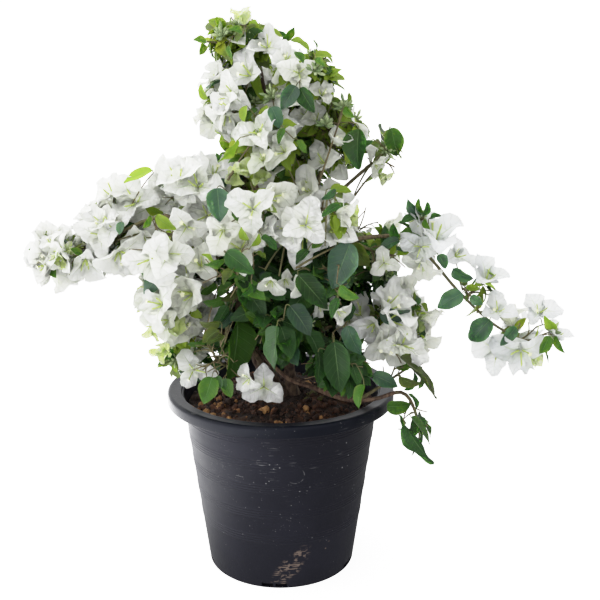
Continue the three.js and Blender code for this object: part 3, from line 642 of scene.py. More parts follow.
class Mass:
    """One mass of foliage: its space is an egg round its middle, cut by a plane towards each other mass."""

    FRONT = 0.86  # how far out of its middle the front of a mass is, as a share of its reach
    PLANE_SLACK = 12  # how far fine leaves may cross the plane between two masses
    STEP = 4.0  # how finely the room in it is measured

    def __init__(self, index, name, on, at, arch, style, middle, reach):
        self.index, self.name = index, name
        self.on, self.at, self.arch = on, at, arch
        self.style = STYLES[style]
        self.middle = np.array(middle, float)
        self.reach = np.array(reach, float)
        self.size = self.reach.mean()
        self.bearing = SPARSE.get(name, 1)

    def set_planes(self, masses):
        """The plane towards each other mass, where the squares of the distances less the sizes are equal."""
        others = [other for other in masses if other is not self]
        offset = np.array([other.middle for other in others]) - self.middle
        apart = np.linalg.norm(offset, axis=1)
        sizes = np.array([other.size for other in others])
        share = 0.5 + (self.size**2 - sizes**2) / (2 * apart**2)
        self.normals = offset / apart[:, None]
        self.limits = self.normals @ self.middle + share * apart + self.PLANE_SLACK

    def holds(self, points, slack=1.0):
        """Whether each point is in the space, with the egg made larger by the slack."""
        egg = (((points - self.middle) / self.reach) ** 2).sum(-1) < slack**2
        return egg & (points @ self.normals.T < self.limits).all(-1) & clear_of_pot(points)

    def room(self, directions):
        """How far there is room from the middle in each direction, in short steps."""
        steps = np.arange(self.STEP, 2 * self.size, self.STEP)
        free = self.holds(self.middle + directions[:, None] * steps[:, None])
        return self.STEP * np.cumprod(free, axis=1).sum(1)

    def front(self, pixel):
        """Where the line of sight through a pixel enters the mass, or comes nearest to its middle."""
        heading = sight(pixel)
        shrunk = self.FRONT * self.reach
        a, b = heading / shrunk, (CAMERA_PLACE - self.middle) / shrunk
        nearest = -(a @ b) / (a @ a)
        inside = nearest**2 - (b @ b - 1) / (a @ a)
        return CAMERA_PLACE + heading * (nearest - math.sqrt(max(0, inside)))


def plan_limbs():
    """The main limbs, in the order of the table. Two stand in the soil, and the rest fork or run on."""
    limbs = {}
    for plan in LIMBS:
        points = np.array(plan.route, float)
        if plan.carrier:
            start = limbs[plan.carrier].route.at(plan.at)
        else:
            points[:, 2] += SOIL_CREST + GAP
            start = points[0] - BURIED * UP
        limbs[plan.name] = Limb(plan.name, np.vstack([start, points]), plan.radii, plan.flare)
    return limbs


def plan_stem(mass, limbs):
    """A mass's bough, where it has one, and its stem: a curve from the bough's tip or the limb's axis that
    leaves along its heading and ends a little past the middle of the mass."""
    carrier = limbs[mass.on]
    start = carrier.route.at(mass.at)
    heading = carrier.route.heading(mass.at)
    if mass.arch is not None:
        inwards = unit(start - mass.middle)
        end = mass.middle + inwards * 0.66 * mass.reach.min()
        turn = (start + end) / 2 + UP * mass.arch
        thick = max(2.8, 0.5 * carrier.radius(mass.at))
        bough = Limb(mass.name + "_bough", np.array([start, turn, end]), (thick, 2.4))
        limbs[bough.name] = bough
        start, heading = end, bough.route.heading(1)
    elif mass.at < 1:
        heading = unit(mass.middle - start)
    far = lerp(mass.middle, start, -0.2)
    turn = start + heading * 0.4 * np.linalg.norm(far - start)
    mass.stem = Route(bend(start, turn, far, 30)[0])


class Plant:
    """The whole plant as it grows: limbs, twigs, leaves, blooms and buds, as lists of arrays."""

    FORK_ANGLE = 0.8  # the angle at which a twig most likes to leave
    LEAST_ROOM = 16  # a twig's end needs this much room round the middle of its mass
    BEHIND = 60  # how much further a twig counts as being when it is in front of what grows from it
    SMALL_LEAF = 21
    BRACT_LENGTH = 38

    # Twigs of each sort: their first and last radii, and the kind that says which piece they go into.
    STEM = (2.6, 1.1, "stem")
    MAIN_TWIG = (1.5, 0.8, "twig")
    FINE_TWIG = (1.1, 0.6, "twig")
    BARE_SHOOT = (1.4, 0.9, "twig")
    NEAR_STALK = (0.6, 0.55, "stalk")
    LEAF_STALK = (0.55, 0.45, "stalk")
    BLOOM_STALK = (0.6, 0.5, "stalk")
    DRY_TWIG = (0.75, 0.4, "dry")

    def __init__(self):
        self.masses = [Mass(i, *row) for i, row in enumerate(MASSES + INNER_MASSES)]
        self.named = {mass.name: mass for mass in self.masses}
        self.limbs = plan_limbs()
        outer = self.masses[: len(MASSES)]
        for mass in self.masses:
            plan_stem(mass, self.limbs)
            mass.set_planes(outer)
        self.twigs = []  # (paths, first radius, last radius, kind)
        self.leaves = {tone + near: [] for tone in LEAF_TONES for near in ("", "_near")}
        self.bracts = {tone + near: [] for tone in BRACT_TONES for near in ("", "_near")}
        self.flowers = []
        self.buds = []
        self.kept_clear = []  # (place, size) of what stands out
        for mass in self.masses:
            self.grow_wood(mass)
        self.grow_portraits()
        for mass in self.masses:
            self.dress(mass)

    def grow_wood(self, mass):
        """A mass's stem and twigs. Main twigs end evenly round the middle, half way to the edge of the
        space; finer ones fork from them or from the stem where the fork is most natural."""
        stem = mass.stem
        self.add_twigs(stem.at(np.linspace(0, 1, 10))[None], *self.STEM)
        ways = [(stem.at(s), stem.heading(s)) for s in np.linspace(0.15, 1, 16)]
        main = self.twig_ends(mass, round(mass.size / 12), 6 * chance(mass.index, 0, 9), 0.34, 0.5)
        main_paths = self.fork(main, ways)
        self.add_twigs(main_paths, *self.MAIN_TWIG)
        for path in main_paths:
            headings = unit(np.gradient(path, axis=0))
            ways += [(path[k], headings[k]) for k in range(1, len(path) - 1)]
        count = round(mass.style.twigs * (0.3 + 0.7 * mass.bearing))
        fine = self.twig_ends(mass, count, 6 * chance(mass.index, 1, 9), 0.3, 0.68)
        mass.paths = np.concatenate([main_paths, self.fork(fine, ways)])
        self.add_twigs(mass.paths[len(main_paths):], *self.FINE_TWIG)

    def twig_ends(self, mass, count, turn, near, far):
        """The ends of twigs: spread evenly over directions by the golden angle, at a share of the room."""
        item = np.arange(count)
        height = 1 - (2 * item + 1) / count
        turns = item * GOLDEN_ANGLE + turn
        level = np.sqrt(1 - height**2)
        directions = np.stack([level * np.cos(turns), level * np.sin(turns), height], -1)
        room = mass.room(directions)
        share = near + (far - near) * chance(mass.index, item, 10)
        ends = mass.middle + directions * (room * share)[:, None]
        return ends[room > self.LEAST_ROOM]

    def fork(self, ends, ways):
        """Paths to the ends from the points of the ways that they fork from most naturally."""
        places = np.array([place for place, _ in ways])
        headings = np.array([heading for _, heading in ways])
        offset = ends[:, None] - places
        distance = np.linalg.norm(offset, axis=-1)
        angle = np.arccos(np.clip((offset * headings).sum(-1) / np.maximum(distance, 1e-6), -1, 1))
        best = (np.abs(angle - self.FORK_ANGLE) * 30 + distance * 0.7).argmin(1)
        length = distance[np.arange(len(ends)), best][:, None]
        turns = places[best] + headings[best] * 0.3 * length + UP * 0.1 * length
        return bend(places[best], turns, ends, 7)

    def add_twigs(self, paths, first, last, kind):
        """Twigs of a kind, with the radii at their first and last points."""
        self.twigs.append((paths, first, last, kind))

    def reach_for(self, target, mass, radius=0.9):
        """A shoot from the nearest twig of a mass to a point, which arrives with a droop."""
        places = np.vstack([mass.paths[:, 2:].reshape(-1, 3), mass.stem.at(np.linspace(0.2, 1, 12))])
        in_front = (CAMERA_PLACE - target) @ (places - target).T > 0
        start = places[(np.linalg.norm(places - target, axis=1) + self.BEHIND * in_front).argmin()]
        length = np.linalg.norm(target - start)
        turn = (start + target) / 2 + UP * 0.16 * length
        self.add_twigs(bend(start, turn, target, 7), radius, 0.6, "twig")

    def grow_portraits(self):
        """The leaves, blooms, buds and shoots that stand out in the photograph, each at the front of its
        mass and on a shoot from that mass's twigs."""
        for item, row in enumerate(LEAF_PORTRAITS):
            mass = self.named[row.mass]
            root = mass.front(row.root)
            root = root + unit(CAMERA_PLACE - root) * LEAF_LIFT
            tip_sight = sight(row.tip)
            tip = CAMERA_PLACE + tip_sight * (root[1] - CAMERA_PLACE[1] - TIP_LIFT) / tip_sight[1]
            length = np.linalg.norm(tip - root)
            towards = (tip - root) / length
            turn = math.acos(min(1, row.breadth)) * (1 if item % 2 else -1)
            viewer = unit(CAMERA_PLACE - root)
            square = np.cross(towards, viewer)
            facing = viewer * math.cos(turn) + square * math.sin(turn) + 0.15 * UP
            stalk = root - towards * 0.12 * length + unit(mass.middle - root) * 6
            self.reach_for(stalk, mass)
            self.add_twigs(bend(stalk, (stalk + root) / 2 + 2 * UP, root, 7), *self.NEAR_STALK)
            self.leaves[row.tone + "_near"].append((root, towards, facing, length, LEAF_SEEDS + item))
            self.kept_clear.append((lerp(root, tip, 0.5), 0.42 * length))
        for item, row in enumerate(BLOOM_PORTRAITS):
            mass = self.named[row.mass]
            base = mass.front(row.base)
            ahead = sight(row.towards) - sight(row.base)
            viewer = unit(CAMERA_PLACE - base)
            axis = unit(unit(ahead) * (1 - row.face) + viewer * (row.face + 0.12))
            base = base - axis * BLOOM_SINK
            self.reach_for(base, mass)
            self.add_bloom(row.tone, base, axis, row.size, BLOOM_SEEDS + item, "_near", 1 + 0.7 * row.face)
            self.kept_clear.append((base + axis * 14, 26 * row.size))
        for item, (name, pixel, towards) in enumerate(BUD_PORTRAITS):
            mass = self.named[name]
            base = mass.front(pixel)
            axis = unit(unit(sight(towards) - sight(pixel)) + 0.3 * UP)
            self.reach_for(base, mass)
            self.buds.append((base, axis, BUD_SEEDS + item, 1.1))
        for place in self.limbs["low_branch"].route.at(np.linspace(0.1, 0.9, 9)):
            self.kept_clear.append((place, 2))
        for name, first, last in SHOOT_PORTRAITS:
            mass = self.named[name]
            start, end = mass.front(first), mass.front(last)
            self.reach_for(start, mass, self.BARE_SHOOT[0])
            self.add_twigs(bend(start, (start + end) / 2 + 4 * UP, end, 9), *self.BARE_SHOOT)

    def in_front(self, points, spread):
        """Whether a thing of some size at each point would hide a leaf or bloom that stands out, or close
        a gap that shows sky."""
        spots = np.array([place for place, _ in self.kept_clear])
        sizes = np.array([size for _, size in self.kept_clear])
        pixels, depth = seen_at(points)
        kept_pixels, kept_depth = seen_at(spots)
        apart = np.linalg.norm(pixels[:, None] - kept_pixels, axis=-1) * kept_depth / FOCAL_PIXELS
        hides = (apart < sizes + spread) & (depth[:, None] < kept_depth + 14)
        sky = np.array(SKY, float)
        off = np.linalg.norm(pixels[:, None] - sky[:, :2], axis=-1)
        return hides.any(1) | (off < sky[:, 2]).any(1)

    def dress(self, mass):
        """Blooms or buds on the ends of a mass's twigs, and leaves along them."""
        style = mass.style
        for item, path in enumerate(mass.paths):
            if chance(mass.index, item, 15) > mass.bearing:
                continue
            key = item + 40
            end, forward = path[-1], unit(path[-1] - path[-3])
            count = style.leaves
            if chance(mass.index, item, 11) < style.blossom:
                few, many = style.blooms
                blooms = few + int((many - few + 1) * chance(mass.index, item, 13))
                for k in range(blooms):
                    self.try_bloom(mass, end - forward * 7 * k, forward, key * 4 + k, k)
            elif chance(mass.index, item, 14) < style.budding and not self.in_front(end[None], 10)[0]:
                self.buds.append((end, forward, mass.index * 50 + item, 1))
            else:
                count += 1
            self.grow_leaves(mass, path, forward, key, count, style.leaf_length)
            self.grow_leaves(mass, path[3:], forward, key + 300, style.small, self.SMALL_LEAF)
        if mass.bearing > 0.5:
            self.tangle(mass)

    def tangle(self, mass):
        """Thin dry twigs that wander through a mass from its stem."""
        item = np.arange(9)
        starts = mass.stem.at(0.2 + 0.7 * chance(mass.index, item, 71))
        headings = any_way(mass.index, item, 72)
        ends = starts + headings * (mass.size * (0.5 + 0.4 * chance(mass.index, item, 75)))[:, None]
        sway = across(headings, item * GOLDEN_ANGLE) * 9
        paths = bend(starts, (starts + ends) / 2 + sway, ends, 7)
        hides = self.in_front(paths.reshape(-1, 3), 5).reshape(len(paths), -1).any(1)
        fits = mass.holds(ends, 1.0) & ~hides
        self.add_twigs(paths[fits], *self.DRY_TWIG)

    def try_bloom(self, mass, end, forward, key, k):
        """A bloom on its own short stalk at the end of a twig, left out where it has no room."""
        out = unit(end - mass.middle)
        lean = across(forward[None], [key * GOLDEN_ANGLE])[0]
        axis = unit(forward * 0.4 + out * 0.7 + UP * 0.1 + lean * (0.5 + 0.4 * k))
        base = end + unit(forward + axis) * (7 + 10 * chance(mass.index, key, 20))
        size = 0.8 + 0.32 * chance(mass.index, key, 21)
        tip = base + axis * 30 * size
        if not mass.holds(tip[None], 1.0)[0] or self.in_front((base + axis * 14)[None], 14)[0]:
            return
        # Masses in half shade get more ivory bracts, the painted shade of the white.
        white_share = SHADED_WHITE_SHARE if mass.name in SHADED else WHITE_SHARE
        tone = "white" if chance(mass.index, key, 22) < white_share else "ivory"
        if chance(mass.index, key, 23) < LIME_SHARE:
            tone, size = "lime", size * 0.7
        self.add_twigs(bend(end, end + forward * 5, base, 7), *self.BLOOM_STALK)
        self.add_bloom(tone, base, axis, size, mass.index * 97 + key)

    def grow_leaves(self, mass, path, forward, key, count, full_length):
        """Leaves along a twig: each leans out of it, a golden angle round from the last, and droops, with
        its face to the light."""
        item = np.arange(count) + key * 5
        share = np.linspace(0.95, 0.3, count) if count > 1 else np.array([0.7])
        spots = np.stack([np.interp(share, np.linspace(0, 1, len(path)), path[:, k]) for k in range(3)], -1)
        side = across(np.broadcast_to(forward, (count, 3)), item * GOLDEN_ANGLE + mass.index)
        droop = (-0.65 + 0.6 * chance(mass.index, item, 1)) * min(1.2, full_length / 36)
        lean = side * 0.9 + forward * 0.35 + outwards(spots) * 0.3 + UP * droop[:, None]
        towards = unit(lean)
        facing = outwards(spots) * 0.8 + UP * (0.5 + 0.4 * chance(mass.index, item, 4)[:, None])
        facing = facing + side * 0.35 * (chance(mass.index, item, 5) - 0.5)[:, None]
        length = full_length * (0.68 + 0.55 * chance(mass.index, item, 2))
        roots = spots + unit(towards + forward * 0.6) * (length * 0.2)[:, None]
        middles, tips = roots + towards * (length * 0.5)[:, None], roots + towards * length[:, None]
        hides = self.in_front(middles, 0.36 * full_length)
        fits = mass.holds(middles, 0.98) & mass.holds(tips, 1.04) & ~hides
        tones = np.searchsorted(np.cumsum(mass.style.tones), chance(mass.index, item, 6) * 0.999)
        for k in np.flatnonzero(fits):
            self.add_twigs(bend(spots[k], spots[k] + forward * 2, roots[k], 4), *self.LEAF_STALK)
            tone = TONES[tones[k]]
            fresh = chance(mass.index, item[k], 8)
            if full_length < 25 and mass.style.blossom > 0.3 and fresh < 0.75:
                tone = "bud" if fresh < 0.3 else "young"
            self.leaves[tone].append((roots[k], towards[k], facing[k], length[k], mass.index * 61 + item[k]))

    def add_bloom(self, tone, base, axis, size, seed, near="", wide=1.0):
        """Three bracts that open round an axis like a loose cup, each with a slender flower on it."""
        # Painted shade: white bracts on the right, away from the window side, take the darker pearl.
        if tone == "white" and base[0] > SHADED_PEARL_FROM:
            tone = "pearl"
        turn = seed * GOLDEN_ANGLE + np.arange(3) * 2 * np.pi / 3
        item = np.arange(3)
        sides = across(np.broadcast_to(axis, (3, 3)), turn + 0.3 * (chance(seed, item, 3) - 0.5))
        opening = BRACT_TONES[tone][0] * wide
        angle = opening * (0.6 + 0.8 * chance(seed, item, 4))
        towards = axis * np.cos(angle)[:, None] + sides * np.sin(angle)[:, None]
        facing = axis * np.sin(angle)[:, None] - sides * np.cos(angle)[:, None]
        length = self.BRACT_LENGTH * size * (0.85 + 0.3 * chance(seed, item, 5))
        for k in range(3):
            root = base + sides[k] * 0.8
            self.bracts[tone + near].append((root, towards[k], facing[k], length[k], seed * 3 + k))
            self.flowers.append((root, towards[k], facing[k], length[k], seed * 3 + k, tone == "lime"))


BLADE_ENDS = [[0.5, 0], [0.5, 1]]  # where the two ends of a blade or tube lie on the pattern


class Shape:
    """Points in millimetres with quads and triangles on them, and for each point a place on the pattern
    (uv) and a tint from 0 to 1."""

    def __init__(self, points, faces, uv=None, tint=None):
        self.points = points.reshape(-1, 3)
        self.faces = faces
        count = len(self.points)
        self.uv = np.zeros((count, 2)) if uv is None else uv.reshape(-1, 2)
        self.tint = np.full(count, 0.5) if tint is None else np.broadcast_to(tint, count)


def joined(shapes):
    """Several shapes as one."""
    offsets = np.cumsum([0] + [len(shape.points) for shape in shapes])
    faces = [face + offset for shape, offset in zip(shapes, offsets) for face in shape.faces]
    points, uv, tint = (
        np.concatenate([getattr(shape, part) for shape in shapes]) for part in ("points", "uv", "tint")
    )
    return Shape(points, faces, uv, tint)


def tube_faces(rows, columns):
    """The faces of a closed tube: quads on its points, numbered ring by ring, and the fans that join its
    first ring to the point after those and its last ring to the next."""
    here = np.arange(columns)
    after = (here + 1) % columns
    ring = np.arange(rows - 1)[:, None] * columns
    quads = np.stack([ring + here, ring + after, ring + columns + after, ring + columns + here], -1)
    last = (rows - 1) * columns
    foot = np.stack([np.full(columns, rows * columns), after, here], -1)
    tip = np.stack([np.full(columns, rows * columns + 1), last + here, last + after], -1)
    return quads.reshape(-1, 4), np.concatenate([foot, tip])


def closed(rings, ends):
    """A shape from rings of points and the two points that close its ends."""
    return Shape(np.vstack([rings.reshape(-1, 3), ends]), tube_faces(*rings.shape[:2]))


def repeated(faces, count, points_each):
    """The faces of one small shape, for each of a number of copies."""
    return (faces + np.arange(count)[:, None, None] * points_each).reshape(-1, faces.shape[1])


def tubes(paths, radii, sides, tint, push=None):
    """Closed round tubes. Round each path, every ring is the path's point plus its radius times
    (one cos a + two sin a), where one and two are square to the path. A push in or out is a share of the
    radius. A fan closes each end."""
    count, rings = paths.shape[:2]
    ahead = unit(np.gradient(paths, axis=1))
    least = np.eye(3)[np.abs(ahead).max(1).argmin(-1)][:, None]
    one = unit(np.cross(ahead, least))
    two = np.cross(ahead, one)
    turn = 2 * np.pi * np.arange(sides) / sides
    spokes = one[:, :, None] * np.cos(turn)[:, None] + two[:, :, None] * np.sin(turn)[:, None]
    radii = np.asarray(radii, float)
    radii = np.broadcast_to(radii if radii.ndim == 3 else radii[..., None], (count, rings, sides))
    surface = paths[:, :, None] + spokes * radii[..., None]
    if push is not None:
        surface = surface + spokes * (push(surface) * radii)[..., None]
    points = np.concatenate([surface.reshape(count, -1, 3), paths[:, :1], paths[:, -1:]], 1)
    each = rings * sides + 2
    faces = [repeated(part, count, each) for part in tube_faces(rings, sides)]
    round_it, along = np.broadcast_arrays(np.arange(sides) / sides, np.linspace(0, 1, rings)[:, None])
    uv = np.concatenate([np.stack([round_it, along], -1).reshape(-1, 2), BLADE_ENDS])
    return Shape(points, faces, np.tile(uv, (count, 1)), np.repeat(tint, each))


class BladeForm(NamedTuple):
    """A leaf's or bract's outline: its width as a share of its length and how much that varies, how blunt
    its root and tip are, how far its sides fold up from the midrib and cup, how its rim waves, how its
    whole face crumples, how far its midrib curls at least and at most, and its thickness."""

    width: float
    vary: float
    root: float
    tip: float
    fold: float
    cup: float
    wave: float
    crumple: float
    curl: tuple
    thick: float


# Leaves and bracts, and the places along and across a blade that have points, for most blades and for those
# that stand out.
LEAF = BladeForm(0.6, 0.4, 0.52, 0.92, 0.2, 0.12, 0.03, 0.018, (0.1, 1.2), 0.011)
BRACT = BladeForm(0.8, 0.3, 0.56, 0.82, 0.12, 0.42, 0.08, 0.045, (0.3, 1.7), 0.011)
FEW_ROWS = np.array([0.045, 0.16, 0.32, 0.5, 0.68, 0.85])
FEW_COLUMNS = np.array([-1, -0.52, 0, 0.52, 1])
MANY_ROWS = np.array([0.015, 0.06, 0.14, 0.25, 0.37, 0.5, 0.63, 0.76, 0.88, 0.96])
MANY_COLUMNS = np.array([-1, -0.7, -0.36, 0, 0.36, 0.7, 1])


def blade_faces(rows, columns):
    """The quads and triangles of one blade: an upper and a lower skin that share their rim, and a fan at
    the root and the tip."""
    upper = np.arange(rows * columns).reshape(rows, columns)
    lower = upper.copy()
    inner = columns - 2
    lower[:, 1:-1] = rows * columns + np.arange(rows * inner).reshape(rows, inner)
    root = rows * (columns + inner)
    quads, fans = [], []
    for skin, order in ((upper, 1), (lower, -1)):
        corners = [skin[:-1, :-1], skin[1:, :-1], skin[1:, 1:], skin[:-1, 1:]]
        quads.append(np.stack([c.ravel() for c in corners][::order], -1))
        first, last = skin[0], skin[-1]
        near = [np.full(columns - 1, root), first[:-1], first[1:]]
        far = [last[:-1], np.full(columns - 1, root + 1), last[1:]]
        fans += [np.stack(near[::order], -1), np.stack(far[::order], -1)]
    return np.concatenate(quads), np.concatenate(fans), root + 2


def blades(form, rows, blade_rows, blade_columns):
    """Many blades at once. Along a blade, t runs from root to tip and s from one rim to the other. The half
    width is t^root (1-t)^tip scaled to 1 at its widest; the midrib is an arc that bends away from the
    face; the sides rise by fold |s| + cup s s, the rim waves as sin of t, the face crumples as sin of t
    times cos of s, and the skins part by the thickness times 1 - s s."""
    root, towards, facing, length, seed = (np.array(column, float) for column in zip(*rows))
    count = len(root)
    x = unit(towards)
    y = unit(np.cross(facing, x))
    z = np.cross(x, y)
    t = blade_rows[:, None]
    s = blade_columns[None]
    peak = form.root / (form.root + form.tip)
    outline = (t / peak) ** form.root * ((1 - t) / (1 - peak)) ** form.tip
    vary = [chance(seed, 0, use)[:, None, None] for use in range(31, 39)]
    long = length[:, None, None]
    scallop = 1 + 1.6 * form.wave * np.sin(2 * np.pi * (2.2 * t + vary[5] + 0.4 * np.sign(s)))
    half = long * form.width / 2 * outline * scallop * (1 + form.vary * (vary[0] - 0.5))
    curl = lerp(*form.curl, vary[1])
    fold = form.fold * (0.5 + 1.2 * vary[2])
    wave = np.sin(2 * np.pi * (1.7 * t + vary[3] + 0.25 * np.sign(s))) * np.abs(s) ** 1.5
    crumple = np.sin(2 * np.pi * (1.3 * t + vary[6])) * np.cos(np.pi * (1.6 * s + 2 * vary[7]))
    lift = half * (fold * np.abs(s) + form.cup * (0.3 + vary[4]) * s**2)
    lift = lift + long * (form.wave * wave * (0.5 + vary[5]) + form.crumple * crumple * outline)
    skin = form.thick * long * (1 - s**2) / 2
    side = half * s

    def place(t, side, lift):
        """A point of the bent blade: along the arc, then off it square to the arc."""
        angle = curl * t
        run = long * np.sin(angle) / curl + lift * np.sin(angle)
        rise = -long * (1 - np.cos(angle)) / curl + lift * np.cos(angle)
        run, side, rise = np.broadcast_arrays(run, side, rise)
        flat = [part.reshape(count, -1, 1) for part in (run, side, rise)]
        return root[:, None] + flat[0] * x[:, None] + flat[1] * y[:, None] + flat[2] * z[:, None]

    upper = place(t, side, lift + skin)
    lower = place(t, side, lift - skin).reshape(count, len(t), -1, 3)[:, :, 1:-1]
    ends = [place(np.full((1, 1), at), 0 * long, 0 * long) for at in (0.0, 1.0)]
    points = np.concatenate([upper, lower.reshape(count, -1, 3), *ends], 1)
    pattern = np.stack(np.broadcast_arrays((s + 1) / 2, t), -1)
    uv = np.concatenate([pattern.reshape(-1, 2), pattern[:, 1:-1].reshape(-1, 2), BLADE_ENDS])
    quads, fans, each = blade_faces(len(blade_rows), len(blade_columns))
    faces = [repeated(quads, count, each), repeated(fans, count, each)]
    tint = np.repeat(chance(seed, 7.0, 37), each)
    return Shape(points, faces, np.tile(uv, (count, 1)), tint)


def near_and_far(form, grown, tone):
    """The blades of a tone: those that stand out in the photograph on a finer grid than the rest."""
    grids = {tone: (FEW_ROWS, FEW_COLUMNS), tone + "_near": (MANY_ROWS, MANY_COLUMNS)}
    return joined([blades(form, grown[key], *grid) for key, grid in grids.items() if grown[key]])


def lumps(places, sizes, seed):
    """Rounded lumps: tubes whose radius follows a half circle, on short axes that lean any way, pushed in
    and out by smooth noise."""
    item = np.arange(len(places))
    angle = np.linspace(0.12, np.pi - 0.12, 6)
    squat = 0.45 + 0.6 * chance(seed, item, 45)[:, None, None]
    reach = np.cos(angle)[:, None] * sizes[:, None, None] * squat
    paths = places[:, None] - any_way(seed, item, 4)[:, None] * reach
    radii = np.sin(angle) ** 0.7 * sizes[:, None]

    def push(points):
        """Coarse and fine noise."""
        return 0.4 * ripple(points, 9, seed) + 0.3 * ripple(points, 4, seed)

    return tubes(paths, radii, 7, chance(seed, item, 44), push)


def arithmetic(operation, swapped=False):
    """An operator on values that adds a Math node, with its terms swapped for a reflected one."""

    def apply(self, *others):
        terms = (*others, self) if swapped else (self, *others)
        return self.nodes.value("ShaderNodeMath", {"operation": operation}, dict(enumerate(terms)))

    return apply


class Value:
    """A number that changes over a surface: an output socket, whose arithmetic adds Math nodes."""

    def __init__(self, nodes, socket):
        self.nodes = nodes
        self.socket = socket

    __add__ = __radd__ = arithmetic("ADD")
    __mul__ = __rmul__ = arithmetic("MULTIPLY")
    __sub__ = arithmetic("SUBTRACT")
    __rsub__ = arithmetic("SUBTRACT", True)
    __truediv__ = arithmetic("DIVIDE")
    __pow__ = arithmetic("POWER")
    __abs__ = arithmetic("ABSOLUTE")
    at_most = arithmetic("MINIMUM")
    fraction = arithmetic("FRACT")

    def ramp(self, low, high):
        """0 at low, 1 at high and a smooth step between; low may be the larger."""
        limits = {"Value": self, "From Min": low, "From Max": high}
        return self.nodes.value("ShaderNodeMapRange", {"interpolation_type": "SMOOTHSTEP"}, limits)


class Nodes:
    """A node tree while it is made. Every node comes in through add."""

    def __init__(self, owner):
        owner.use_nodes = True
        self.tree = owner.node_tree
        self.tree.nodes.clear()

    def fill(self, socket, value):
        """Links a socket to a value or to another node's output, or sets it to a number or colour."""
        value = value.socket if isinstance(value, Value) else value
        if isinstance(value, bpy.types.NodeSocket):
            self.tree.links.new(value, socket)
        else:
            socket.default_value = value

    def add(self, kind, settings=None, values=None):
        """A node of a kind, with its settings made first and then its sockets filled."""
        node = self.tree.nodes.new(kind)
        for key, setting in (settings or {}).items():
            setattr(node, key, setting)
        for key, value in (values or {}).items():
            self.fill(node.inputs[key], value)
        return node

    def value(self, kind, settings=None, values=None, output=0):
        """A new node's output as a value."""
        return Value(self, self.add(kind, settings, values).outputs[output])

    def parts(self, vector):
        """The three numbers of a vector."""
        node = self.add("ShaderNodeSeparateXYZ", {}, {0: vector})
        return [Value(self, output) for output in node.outputs]


class Finish(Nodes):
    """A material while it is made, with one shader and a base colour that is laid on in coats."""

    def __init__(self, name, base):
        self.material = bpy.data.materials.new(name)
        super().__init__(self.material)
        self.shader = self.add("ShaderNodeBsdfPrincipled")
        self.add("ShaderNodeOutputMaterial", {}, {"Surface": self.shader.outputs[0]})
        self.place = self.add("ShaderNodeTexCoord").outputs["Object"]
        self.base = base

    def pattern(self, kind, settings, values, stretch, place=None):
        """A texture over the object's own place or another, drawn out along an axis by a small stretch."""
        mapped = self.add("ShaderNodeMapping", {}, {"Vector": place or self.place, "Scale": stretch})
        return self.value(kind, settings, {"Vector": mapped.outputs[0], **values})

    def noise(self, scale, detail=2.0, stretch=(1, 1, 1)):
        """Noise from 0 to 1 with so many waves to a metre."""
        return self.pattern("ShaderNodeTexNoise", {}, {"Scale": scale, "Detail": detail}, stretch)

    def cells(self, scale, stretch=(1, 1, 1), feature="F1", place=None):
        """The distance to the nearest of many scattered points, or to the edge between two."""
        return self.pattern("ShaderNodeTexVoronoi", {"feature": feature}, {"Scale": scale}, stretch, place)

    def attribute(self, name):
        """A number kept on each point of the mesh."""
        return self.value("ShaderNodeAttribute", {"attribute_name": name}, output=2)

    def mix(self, first, second, share):
        """A colour a share of the way from one colour to another."""
        first, second = ((*c, 1) if isinstance(c, tuple) else c for c in (first, second))
        return self.add("ShaderNodeMix", {"data_type": "RGBA"}, {0: share, 6: first, 7: second}).outputs[2]

    def coat(self, rgb, share):
        """Lays a colour over the base by a share."""
        self.base = self.mix(self.base, rgb, share)

    def dress(self, rough, relief=None, depth=0.0, strength=1.0, **sockets):
        """Fills the shader's sockets, named with _ for each space, with the coats, the relief and more."""
        if relief is not None:
            values = {"Height": relief, "Distance": depth, "Strength": strength}
            sockets["Normal"] = self.add("ShaderNodeBump", {}, values).outputs[0]
        for key, value in {"Base_Color": self.base, "Roughness": rough, **sockets}.items():
            self.fill(self.shader.inputs[key.replace("_", " ")], value)
        return self.material


def colour(rgb, share=1.0):
    """A colour as a plain tuple, made darker or lighter."""
    return tuple(channel * share for channel in rgb)


